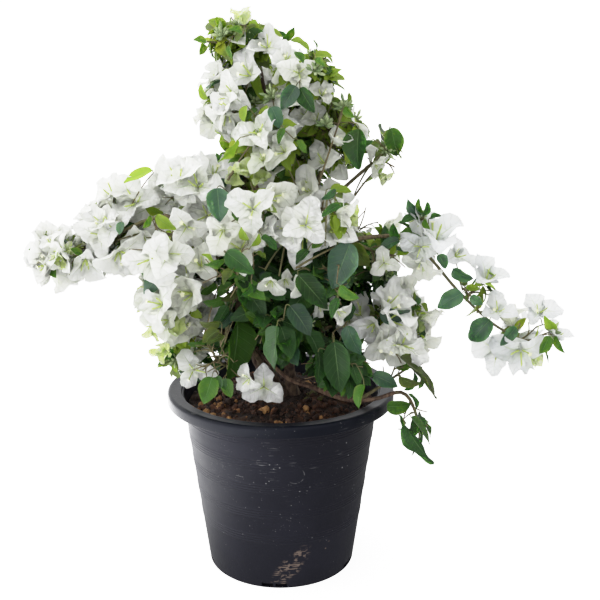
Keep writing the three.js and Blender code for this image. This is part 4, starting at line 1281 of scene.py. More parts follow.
def pot_finish(plastic):
    """Scuffed black polypropylene: faint bloom, a darker lip that is painted shade, dust specks on the upper
    front, fine streaks, a curved scratch, and an earth-coloured scrape with flakes beside it near the foot."""
    f = Finish("black_polypropylene", colour(plastic, 0.85))
    x, y, z = f.parts(f.place)
    front = y.ramp(-0.04, -0.08)
    bloom = f.noise(9, 4).ramp(0.42, 0.7)
    f.coat(colour(plastic, 1.35), bloom * 0.7)
    # Painted shade: the lip is coloured darker and bluer than the wall of the same plastic, for the shade on
    # its front.
    f.coat((0.0035, 0.0043, 0.008), z.ramp(0.2275, 0.231))
    specks = f.cells(150).ramp(0.16, 0.1) * f.noise(26, 3).ramp(0.52, 0.62)
    specks = specks * (z.ramp(0.1, 0.15) * z.ramp(0.226, 0.19) * front)
    loose = f.cells(90).ramp(0.07, 0.045) * f.noise(14, 2).ramp(0.42, 0.55)
    fine = f.cells(240).ramp(0.14, 0.08) * f.noise(34, 3).ramp(0.5, 0.6) * z.ramp(0.04, 0.1)
    streaks = f.noise(60, 3, (1, 1, 12)).ramp(0.62, 0.7) * f.noise(22, 2).ramp(0.55, 0.66)
    streaks = streaks * z.ramp(0.12, 0.17) * front
    round_scratch = ((x - 0.02) ** 2 + (z - 0.168) ** 2) ** 0.5
    scratch = abs(round_scratch - 0.011).ramp(0.0008, 0.0002) * front
    scratch = scratch * (x - z).ramp(-0.15, -0.138) * f.noise(150, 2).ramp(0.45, 0.55)
    dust = specks * 0.8 + loose * 0.42 + fine * 0.32 + streaks * 0.35 + scratch * 0.27
    f.coat((0.3, 0.3, 0.31), dust.at_most(0.62))
    lean = x - 0.012 + (z - 0.03) * -0.62
    zone = ((lean * 1.5) ** 2 + ((z - 0.032) * 0.8) ** 2).ramp(0.0008, 0.0001) * front
    lines = abs((z / 0.0031).fraction() - 0.5).ramp(0.36, 0.16)
    scrape = f.noise(60, 4, (1, 1, 3)).ramp(0.5, 0.62) * lines + f.noise(160, 3).ramp(0.55, 0.66) * 0.6
    flakes = f.cells(110).ramp(0.2, 0.12) * f.noise(45, 2).ramp(0.5, 0.58) * z.ramp(0.07, 0.05) * front
    flakes = flakes * (x - 0.05).ramp(0.02, 0.0) * (x - 0.012).ramp(0, 0.01)
    f.coat((0.27, 0.2, 0.16), (scrape * zone * 0.85 + flakes).at_most(0.5))
    rough = 0.46 + bloom * 0.1 + dust.at_most(0.4) - z.ramp(0.224, 0.232) * 0.14
    grain = f.noise(420, 2) * 0.5 + f.noise(38, 2)
    tint = (0.86, 0.88, 1, 1)
    return f.dress(rough, grain, 0.0006, 0.5, Specular_IOR_Level=0.14, Specular_Tint=tint)


def soil_finish(peat):
    """Moist peaty mix: dark red-brown with rusty fibres and crumbs."""
    f = Finish("peaty_soil", colour(peat, 0.45))
    f.coat(colour(peat, 1.5), f.noise(70, 5))
    f.coat((0.16, 0.06, 0.022), f.noise(24, 3).ramp(0.5, 0.68) * 0.55)
    return f.dress(0.95, f.noise(160, 6) + f.cells(130) * 0.6, 0.003)


def chip_finish(name, light, dark):
    """Husk, bark or stone fragments, each with its own tint and a fibrous grain."""
    f = Finish(name, dark)
    f.coat(light, f.attribute("tint"))
    f.coat(colour(dark, 0.5), f.noise(180, 4).ramp(0.45, 0.7) * 0.7)
    return f.dress(0.85, f.noise(300, 4, (1, 1, 0.3)), 0.0015)


def bark_finish(name, light, dark, furrows, fresh=0.0):
    """Bark with furrows and plates drawn out upwards, greener by a share of the tint."""
    f = Finish(name, dark)
    line = f.noise(230, 4, (1, 1, 0.25))
    f.coat(light, line.ramp(0.35, 0.65))
    f.coat(colour(dark, 0.55), f.noise(60, 4).ramp(0.5, 0.7) * 0.6)
    f.coat((0.12, 0.135, 0.05), f.attribute("tint") * fresh)
    return f.dress(0.82, line * furrows + f.noise(500, 3) * 0.3, 0.0012)


def blade_pattern(f, ribs):
    """The blade's own pattern, how far a point is from the midrib and along it, and the side veins' mask."""
    pattern = f.add("ShaderNodeUVMap", {"uv_map": "UVMap"}).outputs[0]
    u, along, _ = f.parts(pattern)
    off = abs(u - 0.5) * 2
    veins = abs(((along - off * 0.22) * ribs).fraction() - 0.5).ramp(0.1, 0.0)
    return pattern, off, along, veins


def leaf_finish(name, base, rib_colour, gloss):
    """A leaf with a paler midrib, faint side veins and yellowed patches, lighter or darker by its tint."""
    f = Finish(name, colour(base, 0.5))
    _, off, along, veins = blade_pattern(f, 7)
    f.coat(colour(base, 1.5), f.attribute("tint"))
    f.coat(colour(base, 0.55), f.noise(55, 3).ramp(0.45, 0.75) * 0.5)
    yellowed = tuple(channel * gain for channel, gain in zip(base, (2.1, 1.45, 0.8)))
    f.coat(yellowed, f.noise(17, 2).ramp(0.58, 0.72) * 0.4)
    rib = off.ramp(0.06, 0.015) * along.ramp(1.0, 0.5)
    f.coat(rib_colour, rib * 0.26)
    f.coat(rib_colour, veins * off.ramp(1, 0.6) * 0.07)
    relief = veins * -0.35 + rib * -0.8 + f.noise(260, 3) * 0.4
    sockets = {"Subsurface_Weight": 0.25, "Subsurface_Scale": 0.002, "Subsurface_Radius": (0.6, 1, 0.2)}
    rough = 0.4 + 0.14 * f.noise(40, 2)
    return f.dress(rough, relief, 0.0006, 0.7, Specular_IOR_Level=gloss, **sockets)


def bract_finish(name, base, vein, strength):
    """A papery bract: a green midrib that fades towards the tip, a net of fine veins and a green base."""
    f = Finish(name, colour(base, 0.93))
    pattern, off, along, veins = blade_pattern(f, 6)
    tint = f.attribute("tint")
    f.coat(base, tint)
    f.coat(vein, along.ramp(0.42, 0.0) * (0.35 + 0.3 * tint) * strength)
    f.coat(vein, veins * along.ramp(0.95, 0.2) * 0.14 * strength)
    net = f.cells(9, (1, 1.6, 1), "DISTANCE_TO_EDGE", pattern).ramp(0.05, 0.0)
    f.coat(vein, net * 0.12 * strength)
    rib = off.ramp(0.07, 0.02) * along.ramp(0.85, 0.35)
    f.coat(colour(vein, 0.85), rib * 0.55)
    relief = veins * -0.7 + rib + f.noise(140, 3) * 0.8
    sockets = {"Subsurface_Weight": 0.8, "Subsurface_Scale": 0.004, "Subsurface_Radius": (1, 1, 0.9)}
    return f.dress(0.6, relief, 0.0009, 0.8, **sockets)


def plain_finish(name, low, high, rough=0.5):
    """A small part whose colour runs from one to another by its tint, with a fine mottle."""
    f = Finish(name, low)
    f.coat(high, f.attribute("tint"))
    f.coat(colour(low, 0.7), f.noise(240, 2).ramp(0.5, 0.8) * 0.4)
    return f.dress(rough, f.noise(300, 2), 0.0004, 0.5)


def make_piece(name, shape, material, replaced=(), crease=None):
    """A mesh object in metres from a shape, with its pattern, tint and finish, riding on the plant. Edges
    that turn more than the crease, in degrees, are sharp."""
    mesh = bpy.data.meshes.new(name)
    mesh.vertices.add(len(shape.points))
    mesh.vertices.foreach_set("co", (shape.points * MM).astype(np.float32).ravel())
    corners = np.concatenate([face.ravel() for face in shape.faces])
    sizes = np.concatenate([np.full(len(face), face.shape[1]) for face in shape.faces])
    mesh.loops.add(len(corners))
    mesh.loops.foreach_set("vertex_index", corners.astype(np.int32))
    mesh.polygons.add(len(sizes))
    mesh.polygons.foreach_set("loop_start", np.concatenate([[0], np.cumsum(sizes)[:-1]]).astype(np.int32))
    mesh.update(calc_edges=True)
    mesh.uv_layers.new(name="UVMap").data.foreach_set("uv", shape.uv[corners].astype(np.float32).ravel())
    tint = mesh.attributes.new("tint", "FLOAT", "POINT")
    tint.data.foreach_set("value", shape.tint.astype(np.float32))
    mesh.polygons.foreach_set("use_smooth", np.ones(len(sizes), bool))
    if crease:
        mesh.set_sharp_from_angle(angle=math.radians(crease))
    mesh.materials.append(material)
    if mesh.validate():
        raise RuntimeError(f"{name} had faces that do not hold together")
    piece = bpy.data.objects.new(name, mesh)
    bpy.context.scene.collection.objects.link(piece)
    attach(piece, "root")
    if replaced:
        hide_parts(*replaced)


@cache
def plant():
    """The whole plant, grown once and then kept."""
    return Plant()


def arc(middle, radius, first, last, steps=5):
    """Points of an arc in the section's plane, from one angle to another in degrees."""
    angle = np.radians(np.linspace(first, last, steps))
    return np.stack([middle[0] + radius * np.cos(angle), middle[1] + radius * np.sin(angle)], -1)


# The fine ridges round the pot: the heights of their groups, where each is in its group, and their width.
RIDGE_GROUPS = (217, 186, 150, 113, 76)
RIDGE_OFFSETS = (-7, -3.6, 0, 3.6)
RIDGE_WIDTH = 0.95
LIP_ROUND = 4.5
NOTCH_DEPTH = 9
HAIR = 0.0006  # the turn, in radians, in which a notch's side goes in


def pot_section(ridge_height):
    """The pot's section from the middle of its underside, out and up the ridged wall, round the lip and
    down the inside: a straight wall plus a bell-shaped ridge at each height."""
    ridges = np.add.outer(RIDGE_GROUPS, RIDGE_OFFSETS).ravel()
    near = np.add.outer(ridges, np.linspace(-1.8, 1.8, 7) * RIDGE_WIDTH).ravel()
    low, high = NOTCH_HEIGHTS
    plain = np.concatenate([np.arange(12, NECK_HEIGHT, 8), [low - 0.05, low, high, high + 0.05, 4]])
    heights = np.unique(np.round(np.concatenate([near, plain]), 3))
    heights = heights[(heights > 1.1) & (heights < NECK_HEIGHT + 2)]
    bumps = np.exp(-(((heights[:, None] - ridges) / RIDGE_WIDTH) ** 2)).sum(1) * ridge_height
    wall = np.stack([wall_radius(heights) + bumps, heights], -1)
    hollow, edge = POT_HEIGHT - FLOOR, RIM_RADIUS - WALL
    return np.vstack([
        [[0.5, 0], [60, 0], [BASE_RADIUS - 2, 0]],
        arc((BASE_RADIUS - 1, 1), 1, -60, -5, 3),
        wall,
        [[NECK_RADIUS, hollow - 1], [NECK_RADIUS + 1, hollow], [edge - 1, hollow], [edge, hollow - 1]],
        arc((RIM_RADIUS - WALL / 2, NECK_HEIGHT + 1.3), WALL / 2, 180, 360, 7),
        arc((RIM_RADIUS - LIP_ROUND, POT_HEIGHT - LIP_ROUND), LIP_ROUND, 0, 90, 7),
        [[RIM_RADIUS - 7, POT_HEIGHT - 0.5], [MOUTH_RADIUS + 4, POT_HEIGHT - 0.7]],
        arc((MOUTH_RADIUS + 2, POT_HEIGHT - 2.7), 2, 90, 170, 5),
        [[NECK_RADIUS - WALL, NECK_HEIGHT], [lerp(BASE_RADIUS, NECK_RADIUS, 0.5) - WALL, NECK_HEIGHT / 2]],
        [[BASE_RADIUS - WALL, FLOOR], [50, FLOOR], [0.5, FLOOR]],
    ])


def pot_shape(columns, ridge_height):
    """The section turned round the pot's axis. In each drain notch the wall stands back by its depth, with
    columns and rows doubled at the notch's edges so that its sides are upright."""
    section = pot_section(ridge_height)
    width, rib = NOTCH_WIDTH / BASE_RADIUS, NOTCH_RIB / BASE_RADIUS
    middles = np.arange(NOTCH_PAIRS) * 2 * np.pi / NOTCH_PAIRS + NOTCH_TURN - np.pi / 2
    starts = np.concatenate([middles - rib / 2 - width, middles + rib / 2]) % (2 * np.pi)
    edges = np.add.outer(starts, [-HAIR, 0, width, width + HAIR]).ravel() % (2 * np.pi)
    turn = np.unique(np.concatenate([np.arange(columns) * 2 * np.pi / columns, edges]))
    into = ((turn[:, None] - starts) % (2 * np.pi) <= width + HAIR / 2).any(1)
    r, z = section[:, :1], section[:, 1:]
    low, high = NOTCH_HEIGHTS
    outer = (r > BASE_RADIUS - 0.5) & (z > low - 0.01) & (z < high + 0.01)
    radius = np.where(outer & into, r - NOTCH_DEPTH, r)
    wobble = 0.5 * np.sin(2 * turn + 0.7) * (z / POT_HEIGHT) ** 2
    radius = radius + np.where(r > 20, wobble, 0)
    points = np.stack(np.broadcast_arrays(radius * np.cos(turn), radius * np.sin(turn), z), -1)
    return closed(points, [[0, 0, 0], [0, 0, FLOOR]])


def soil_shape():
    """The soil's lumpy top, as a polar grid whose height is the bed's own plus three sizes of noise, with
    a skirt below it, and a flat underside."""
    rim = wall_radius(SOIL_EDGE) - WALL - 1.2
    distance = np.concatenate([np.linspace(1.5, 118, 58), [rim - 2.4, rim]])[:, None]
    turn = 2 * np.pi * np.arange(150) / 150
    flat = np.stack([distance * np.cos(turn), distance * np.sin(turn), 0 * distance + 0 * turn], -1)
    rough = 2.6 * ripple(flat, 34, 3) + 1.5 * np.abs(ripple(flat, 12, 4)) + 0.7 * ripple(flat, 5, 5)
    top = flat + UP * (soil_height(distance) - 1 + rough)[..., None]
    underside = SOIL_EDGE - 22
    skirt = flat[-1:] * 0.98 + UP * underside
    ends = [[0, 0, underside], [0, 0, top[0, :, 2].mean()]]
    return closed(np.concatenate([skirt, top[::-1]]), ends)


def on_soil(rows, seed):
    """Lumps where pixels of the photograph see the soil: each line of sight is cut a little under the
    soil's crest, and the lump there is set to the soil's own height."""
    heading = np.array([sight(pixel) for pixel, _ in rows])
    size = np.array([size for _, size in rows], float)
    reach = (SOIL_CREST - 4 - CAMERA_PLACE[2]) / heading[:, 2]
    places = CAMERA_PLACE + heading * reach[:, None]
    places[:, 2] = soil_height(np.hypot(places[:, 0], places[:, 1])) + size * 0.2
    return lumps(places, size, seed)


def scattered(count, seed, sizes, sink):
    """Lumps strewn over the soil, more of them towards its edge, each sunk a share of its size."""
    item = np.arange(count)
    distance = 116 * np.sqrt(chance(seed, item, 1) * 0.92 + 0.06)
    turn = 2 * np.pi * chance(seed, item, 2)
    size = lerp(*sizes, chance(seed, item, 3) ** 2)
    height = soil_height(distance) + 0.5 + size * (1 - 2 * sink)
    places = np.stack([distance * np.cos(turn), distance * np.sin(turn), height], -1)
    return lumps(places, size, seed)


JOINT_SPACING = 27
OLD_WOOD = ("low_branch", "crossing_shoot")


def limb_shape(limb, spacing, sides, depth):
    """A limb as a tube of many rings, pushed in and out by noise drawn out along it, with a slight swelling
    at each old leaf joint. A thin limb is thinner still and greener, unless it is old wood."""
    rings = max(8, round(limb.route.length / spacing))
    share = np.linspace(0, 1, rings)
    joints = 1 + 0.09 * np.exp(-(((share * limb.route.length / JOINT_SPACING) % 1 - 0.5) * 7) ** 2)
    radius = limb.radius(share) * joints
    fresh = np.array([0 if limb.name in OLD_WOOD else np.clip((4.2 - limb.radius(0.6)) / 2.4, 0, 1)])

    def push(points):
        """Furrows that run up the limb, and finer roughness."""
        return depth * (ripple(points * np.array([1, 1, 0.3]), 7, 11) + 0.6 * ripple(points, 3.4, 12))

    return tubes(limb.route.at(share)[None], radius[None] * (1 - 0.22 * fresh), sides, fresh, push)


def twig_shapes(kinds):
    """All twigs of some kinds as tubes, each tapering evenly from its first radius to its last."""
    groups = {}
    for paths, first, last, kind in plant().twigs:
        if kind in kinds:
            groups.setdefault(paths.shape[1], []).append((paths, first, last))
    shapes = []
    for rings, rows in groups.items():
        paths = np.concatenate([row[0] for row in rows])
        ends = np.concatenate([np.tile([row[1], row[2]], (len(row[0]), 1)) for row in rows])
        radii = lerp(ends[:, :1], ends[:, 1:], np.linspace(0, 1, rings))
        sides = 6 if ends[:, 0].max() > 1 else 4
        shapes.append(tubes(paths, radii, sides, chance(5, np.arange(len(paths)), rings)))
    return shapes


# A flower's radii from its base to its mouth, closed and open, and the rings of an open star: how far each
# is ahead of the mouth, and its radius. They hold for a bract of full length.
CLOSED_FLOWER = np.array([0.7, 1.35, 1.2, 0.85, 0.95, 1.15, 0.35])
OPEN_FLOWER = np.array([0.7, 1.35, 1.2, 0.85, 0.95, 1.2, 1.4])
STAR_AHEAD = np.array([0, 0.5, 1.1, 1.0, 0.7])[:, None]
STAR_RADII = np.array([1.2, 2.0, 3.1, 1.7, 0.8])[:, None]
FULL_BRACT = 43
OPEN_SHARE = 0.24


def flower_shapes():
    """The true flowers: slender tubes that lie along the bracts, some open in a five-pointed star. A tube's
    radius follows a swollen base, a waist and a throat; a star's widest ring swings out by cos 5a."""
    root, towards, facing, length, seed, young = (np.array(column) for column in zip(*plant().flowers))
    share = np.linspace(0.1, 1, 7)[:, None]
    size = (length / FULL_BRACT)[:, None]
    reach = (length * 0.5 * (0.85 + 0.3 * chance(seed, 0, 51)))[:, None, None]
    off = (1.2 + 5.5 * share**1.6) * size[..., None]
    paths = root[:, None] + towards[:, None] * reach * share + unit(facing)[:, None] * off
    opened = (chance(seed, 1, 52) < OPEN_SHARE) & ~young
    shapes = []
    for kind, radii, use in ((~opened, CLOSED_FLOWER, 53), (opened, OPEN_FLOWER, 54)):
        shapes.append(tubes(paths[kind], radii * size[kind], 6, chance(6, np.arange(kind.sum()), use)))
    end, ahead = paths[opened, -1], unit(paths[opened, -1] - paths[opened, -2])
    disc = end[:, None] + ahead[:, None] * STAR_AHEAD
    lobes = 1 + 0.26 * np.cos(5 * 2 * np.pi * np.arange(10) / 10)
    radii = size[opened][:, :, None] * STAR_RADII * np.where(STAR_RADII == STAR_RADII.max(), lobes, 1)
    return joined(shapes), tubes(disc, radii, 10, chance(7, np.arange(len(end)), 55))


CLUBS = 14  # small closed buds in a cluster
CLUB_RADII = np.array([0.45, 0.5, 1.5, 1.75, 0.5])


def bud_shapes():
    """Bud clusters: small clubs that fan out round each shoot's end, evenly by the golden angle."""
    base, axis, seed, size = (np.array(column, float) for column in zip(*plant().buds))
    item = np.arange(CLUBS)[None]
    height = 1 - 1.15 * (item + 0.5) / CLUBS
    turn = item * GOLDEN_ANGLE + seed[:, None]
    side = across(np.broadcast_to(axis[:, None], (len(base), CLUBS, 3)), turn)
    level = np.sqrt(1 - height**2)[..., None]
    heading = unit(side * level + axis[:, None] * height[..., None])
    reach = (8 + 7 * chance(seed[:, None], item, 61)) * size[:, None]
    start = base[:, None] - axis[:, None] * 3 * item[..., None] / CLUBS
    share = np.linspace(0, 1, len(CLUB_RADII))[:, None]
    paths = start[:, :, None] + heading[:, :, None] * share * reach[..., None, None]
    radii = np.repeat(CLUB_RADII * size[:, None], CLUBS, axis=0)
    return tubes(paths.reshape(-1, len(CLUB_RADII), 3), radii, 6, chance(8, np.arange(len(radii)), 62))


def a_colour(name, about, rgb):
    """A colour that a user can set."""
    return FloatVectorProperty(name=name, description=about, default=rgb, min=0, max=1, subtype="COLOR")


def a_length(name, about, millimetres):
    """A length that a user can set, kept in metres."""
    length = {"default": millimetres * MM, "unit": "LENGTH", "subtype": "DISTANCE"}
    return FloatProperty(name=name, description=about, min=0, precision=5, **length)


def a_count(name, about, count):
    """A count that a user can set."""
    return IntProperty(name=name, description=about, default=count, min=0)


def an_amount(name, about, share, unit="NONE"):
    """A strength that a user can set."""
    return FloatProperty(name=name, description=about, default=share, min=0, unit=unit)


def in_millimetres(length):
    """A user's length in the script's own measure, without the rounding of a short float."""
    return round(length / MM, 4)


class PotSettings(bpy.types.PropertyGroup):
    """The pot's colour and relief"""

    colour: a_colour("Plastic", "Colour of the pot's plastic", (0.0098, 0.0098, 0.0152))
    ridge: a_length("Ridges", "How far the fine ridges stand out", 0.42)
    columns: IntProperty(name="Columns", description="Faces round the pot", default=168, min=48)


class SoilSettings(bpy.types.PropertyGroup):
    """The soil's colour and the lumps strewn over it"""

    colour: a_colour("Peat", "Colour of the moist soil", (0.02, 0.0092, 0.006))
    chips: a_count("Husk chips", "Number of light husk chips", 30)
    chip_size: a_length("Chip size", "Size of the largest chips", 5.5)
    crumbs: a_count("Crumbs", "Number of dark crumbs", 900)
    crumb_size: a_length("Crumb size", "Size of the largest crumbs", 4.4)


class WoodSettings(bpy.types.PropertyGroup):
    """The colours of bark and shoots"""

    light: a_colour("Bark, light", "Colour of the bark's ridges", (0.15, 0.1, 0.065))
    dark: a_colour("Bark, dark", "Colour of the bark's furrows", (0.045, 0.026, 0.018))
    green: a_colour("Young shoot", "Colour of young shoots and leaf stalks", (0.16, 0.17, 0.05))


class LeafSettings(bpy.types.PropertyGroup):
    """The colours of leaves"""

    # Painted shade: this darker leaf colour stands in for the shade on leaves inside the crown.
    deep: a_colour("Deep", "Colour of old leaves in the shade", (0.016, 0.045, 0.0115))
    green: a_colour("Green", "Colour of full-grown leaves", (0.039, 0.1, 0.014))
    # Partly painted reflection: this blue-green stands in for the sky's sheen on glossy leaves, beside their
    # real gloss.
    blue: a_colour("Blue-green", "Colour of leaves that face the sky", (0.023, 0.064, 0.035))
    young: a_colour("Young", "Colour of young leaves", (0.2, 0.3, 0.03))
    olive: a_colour("Olive", "Colour of the backs of leaves", (0.052, 0.068, 0.014))
    bud: a_colour("Unfolding", "Colour of small unfolding leaves", (0.15, 0.2, 0.06))
    rib: a_colour("Midrib", "Colour of the midrib and veins", (0.2, 0.33, 0.13))


class BractSettings(bpy.types.PropertyGroup):
    """The colours of bracts and flowers"""

    white: a_colour("White", "Colour of full-grown bracts", (0.955, 0.965, 0.91))
    # Painted shade: ivory is the bract white made darker and yellower for bracts in shade.
    ivory: a_colour("Ivory", "Colour of shaded bracts", (0.8, 0.82, 0.7))
    # Painted shade: pearl is the white made darker and cooler for the right arm, away from the window side.
    pearl: a_colour("Pearl", "Colour of the cooler bracts on the long arm", (0.745, 0.775, 0.785))
    lime: a_colour("Lime", "Colour of young bracts", (0.5, 0.66, 0.15))
    vein: a_colour("Veins", "Colour of a bract's veins and base", (0.5, 0.62, 0.26))
    flower: a_colour("Flower", "Colour of the flower tubes", (0.42, 0.52, 0.12))


class StageSettings(bpy.types.PropertyGroup):
    """The floor and the lights"""

    floor: a_colour("Floor", "Colour of the floor", (0.78, 0.78, 0.78))
    key: an_amount("Key light", "Power of the main lamp", 8, "POWER")
    key_size: a_length("Key size", "Side of the main lamp", 2200)
    side: an_amount("Side light", "Power of the side lamp", 6, "POWER")
    side_size: a_length("Side lamp size", "Side of the side lamp", 1200)
    sky: an_amount("Sky", "Strength of the light all round", 1.44)
    lean: an_amount("Lean", "How much brighter the window side is", 0.55)
    glow: an_amount("Glow", "Glow that the camera sees in the floor", 1.65)
    sheen: an_amount("Sheen", "The floor's light in gloss, on the window side", 4.2)


SETTINGS = {
    "pot": PotSettings,
    "soil": SoilSettings,
    "wood": WoodSettings,
    "leaf": LeafSettings,
    "bract": BractSettings,
    "stage": StageSettings,
}


def settings(context, group):
    """A group of the scene's settings."""
    return getattr(context.scene, "bougainvillea_" + group)


class BOUGAINVILLEA_OT_stage(bpy.types.Operator):
    """Makes the camera, the pale floor and the soft studio light"""

    bl_idname = "bougainvillea.stage"
    bl_label = "Stage"

    def execute(self, context):
        values = settings(context, "stage")
        scene = context.scene
        camera = bpy.data.cameras.new("camera")
        camera.sensor_width = SENSOR_WIDTH
        camera.lens = SENSOR_WIDTH * FOCAL_PIXELS / PHOTO_SIDE
        seat = bpy.data.objects.new("camera", camera)
        seat.location = CAMERA_PLACE * MM
        seat.rotation_euler = (math.pi / 2 - CAMERA_PITCH, 0, 0)
        scene.collection.objects.link(seat)
        scene.camera = seat
        self.respond(scene.view_settings)
        self.light(scene, values)
        self.lay_floor(scene, values)
        return {"FINISHED"}

    def respond(self, view):
        """The camera's response to light x: x itself up to the shoulder s, and above it
        s + (1 - s)(1 - exp((s - x) / (1 - s))), so that white bracts keep their folds in bright light."""
        view.view_transform = "Standard"
        view.use_curve_mapping = True
        view.curve_mapping.white_level = (BRIGHTEST,) * 3
        curve = view.curve_mapping.curves[3]
        curve.points[1].location = (1, 1)
        straight = np.linspace(0, SHOULDER, 4)[1:]
        bent = np.linspace(SHOULDER, BRIGHTEST, 14)[1:-1]
        level = 1 - (1 - SHOULDER) * np.exp((SHOULDER - bent) / (1 - SHOULDER))
        for light, shown in zip([*straight, *bent], [*straight, *level]):
            curve.points.new(light / BRIGHTEST, shown)
        for point in curve.points:
            point.handle_type = "VECTOR"
        view.curve_mapping.update()

    def light(self, scene, values):
        """A pale sky that is brighter towards the window side, as 1 + lean times the cosine of the angle to
        it, and plain white where the camera sees it, with two large soft lamps."""
        world = bpy.data.worlds.new("studio_sky")
        sky = Nodes(world)
        x, y, z = sky.parts(sky.add("ShaderNodeTexCoord").outputs["Generated"])
        to_window = unit(np.array(WINDOW_SIDE))
        bright = 1 + values.lean * (x * to_window[0] + y * to_window[1] + z * to_window[2])
        seen = Value(sky, sky.add("ShaderNodeLightPath").outputs["Is Camera Ray"])
        strength = bright * values.sky * (1 - seen) + seen * BACKDROP
        background = sky.add("ShaderNodeBackground", {}, {"Color": (1, 1, 1, 1), "Strength": strength})
        sky.add("ShaderNodeOutputWorld", {}, {"Surface": background.outputs[0]})
        scene.world = world
        for name, place, power, side in (
            ("key_light", KEY_PLACE, values.key, values.key_size),
            ("side_light", SIDE_PLACE, values.side, values.side_size),
        ):
            lamp = bpy.data.lights.new(name, "AREA")
            lamp.energy = power
            lamp.size = side
            holder = bpy.data.objects.new(name, lamp)
            holder.location = place
            aim = UP * AIM_HEIGHT - place
            tilt = math.atan2(math.hypot(aim[0], aim[1]), -aim[2])
            holder.rotation_euler = (tilt, 0, math.atan2(aim[1], aim[0]) - math.pi / 2)
            scene.collection.objects.link(holder)

    def lay_floor(self, scene, values):
        """A large pale floor that glows where the camera sees it, so that shadows on it stay faint. As gloss
        mirrors it, the window side is bright and the other side dim."""
        mesh = bpy.data.meshes.new("floor")
        corners = [(x * FLOOR_REACH, y * FLOOR_REACH, 0) for x, y in ((-1, -1), (1, -1), (1, 1), (-1, 1))]
        mesh.from_pydata(corners, [], [(0, 1, 2, 3)])
        f = Finish("pale_floor", colour(values.floor))
        x = f.parts(f.place)[0]
        ray = f.add("ShaderNodeLightPath").outputs
        mirrored, seen = Value(f, ray["Is Glossy Ray"]), Value(f, ray["Is Camera Ray"])
        f.coat(colour(values.floor, 0.42), mirrored * x.ramp(-0.05, 0.2))
        f.coat(colour(values.floor, 0.3), seen)
        glow = f.mix((0, 0, 0), (values.glow,) * 3, seen)
        glow = f.mix(glow, (values.sheen,) * 3, mirrored * x.ramp(-0.12, -0.35))
        mesh.materials.append(f.dress(0.9, Emission_Color=glow, Emission_Strength=1))
        floor = bpy.data.objects.new("floor", mesh)
        scene.collection.objects.link(floor)


class BOUGAINVILLEA_OT_pot(bpy.types.Operator):
    """Makes the ridged plastic pot with its turned lip and drain notches"""

    bl_idname = "bougainvillea.pot"
    bl_label = "Pot"

    def execute(self, context):
        values = settings(context, "pot")
        shape = pot_shape(values.columns, in_millimetres(values.ridge))
        make_piece("nursery_pot", shape, pot_finish(values.colour), ["pot"], 38)
        return {"FINISHED"}


class BOUGAINVILLEA_OT_soil(bpy.types.Operator):
    """Makes the soil bed with husk chips and crumbs strewn over it"""

    bl_idname = "bougainvillea.soil"
    bl_label = "Soil"

    def execute(self, context):
        values = settings(context, "soil")
        make_piece("soil_bed", soil_shape(), soil_finish(values.colour), ["soil"])
        husk = chip_finish("husk", (0.5, 0.27, 0.1), (0.2, 0.075, 0.026))
        loose = scattered(values.chips, 21, (2, in_millimetres(values.chip_size)), 0.35)
        chips = joined([loose, on_soil(HUSK_PORTRAITS, 31)])
        make_piece("husk_chips", chips, husk, (), 35)
        crumb = chip_finish("crumb", (0.1, 0.04, 0.02), (0.014, 0.007, 0.005))
        crumbs = scattered(values.crumbs, 22, (1.1, in_millimetres(values.crumb_size)), 0.3)
        make_piece("soil_crumbs", crumbs, crumb, (), 40)
        moss = chip_finish("moss", (0.09, 0.085, 0.016), (0.03, 0.026, 0.008))
        make_piece("moss", on_soil(MOSS_PORTRAITS, 33), moss)
        return {"FINISHED"}


class BOUGAINVILLEA_OT_limbs(bpy.types.Operator):
    """Makes the trunk, the stems, the arms and the boughs with the bark's relief"""

    bl_idname = "bougainvillea.limbs"
    bl_label = "Trunk and Boughs"

    def execute(self, context):
        values = settings(context, "wood")
        limbs = plant().limbs
        old = bark_finish("old_bark", colour(values.light), colour(values.dark), 1.0)
        young = bark_finish("young_bark", (0.2, 0.125, 0.08), (0.075, 0.04, 0.028), 0.5, 0.75)
        thick = ["trunk", "right_stem"]
        trunk = joined([limb_shape(limbs[name], 3, 20, 0.1) for name in thick])
        make_piece("trunk_bark", trunk, old, thick)
        thin = [name for name in limbs if name not in thick]
        fork, reach = limbs["trunk"].route.at(0.2), limbs["low_branch"].route.at(0.3)
        crossing = np.array([fork, (-20, -14, 288), (12, -27, 262), reach])
        thin_limbs = [limbs[name] for name in thin] + [Limb("crossing_shoot", crossing, (2.9, 2.5))]
        boughs = joined([limb_shape(limb, 4, 10, 0.07) for limb in thin_limbs])
        make_piece("boughs", boughs, young, thin)
        return {"FINISHED"}


class BOUGAINVILLEA_OT_twigs(bpy.types.Operator):
    """Makes the twigs and the stalks of leaves and blooms"""

    bl_idname = "bougainvillea.twigs"
    bl_label = "Twigs"

    def execute(self, context):
        values = settings(context, "wood")
        masses = [row[0] for row in MASSES]
        brown = bark_finish("twig_bark", (0.2, 0.16, 0.075), (0.085, 0.055, 0.03), 0.4, 0.6)
        make_piece("twigs", joined(twig_shapes(("stem", "twig"))), brown, masses)
        green = plain_finish("stalk", colour(values.green, 0.6), colour(values.green))
        make_piece("stalks", joined(twig_shapes(("stalk",))), green)
        tan = plain_finish("dry_twig", (0.16, 0.1, 0.05), (0.36, 0.26, 0.15), 0.8)
        make_piece("dry_twigs", joined(twig_shapes(("dry",))), tan)
        return {"FINISHED"}


class BOUGAINVILLEA_OT_leaves(bpy.types.Operator):
    """Makes the leaves, a piece for each tone"""

    bl_idname = "bougainvillea.leaves"
    bl_label = "Leaves"

    def execute(self, context):
        values = settings(context, "leaf")
        for tone in (*TONES, "olive", "bud"):
            gloss = 0.42 if tone == "blue" else 0.14
            finish = leaf_finish("leaf_" + tone, colour(getattr(values, tone)), colour(values.rib), gloss)
            shape = near_and_far(LEAF, plant().leaves, tone)
            make_piece("leaves_" + tone, shape, finish, (), 100)
        return {"FINISHED"}


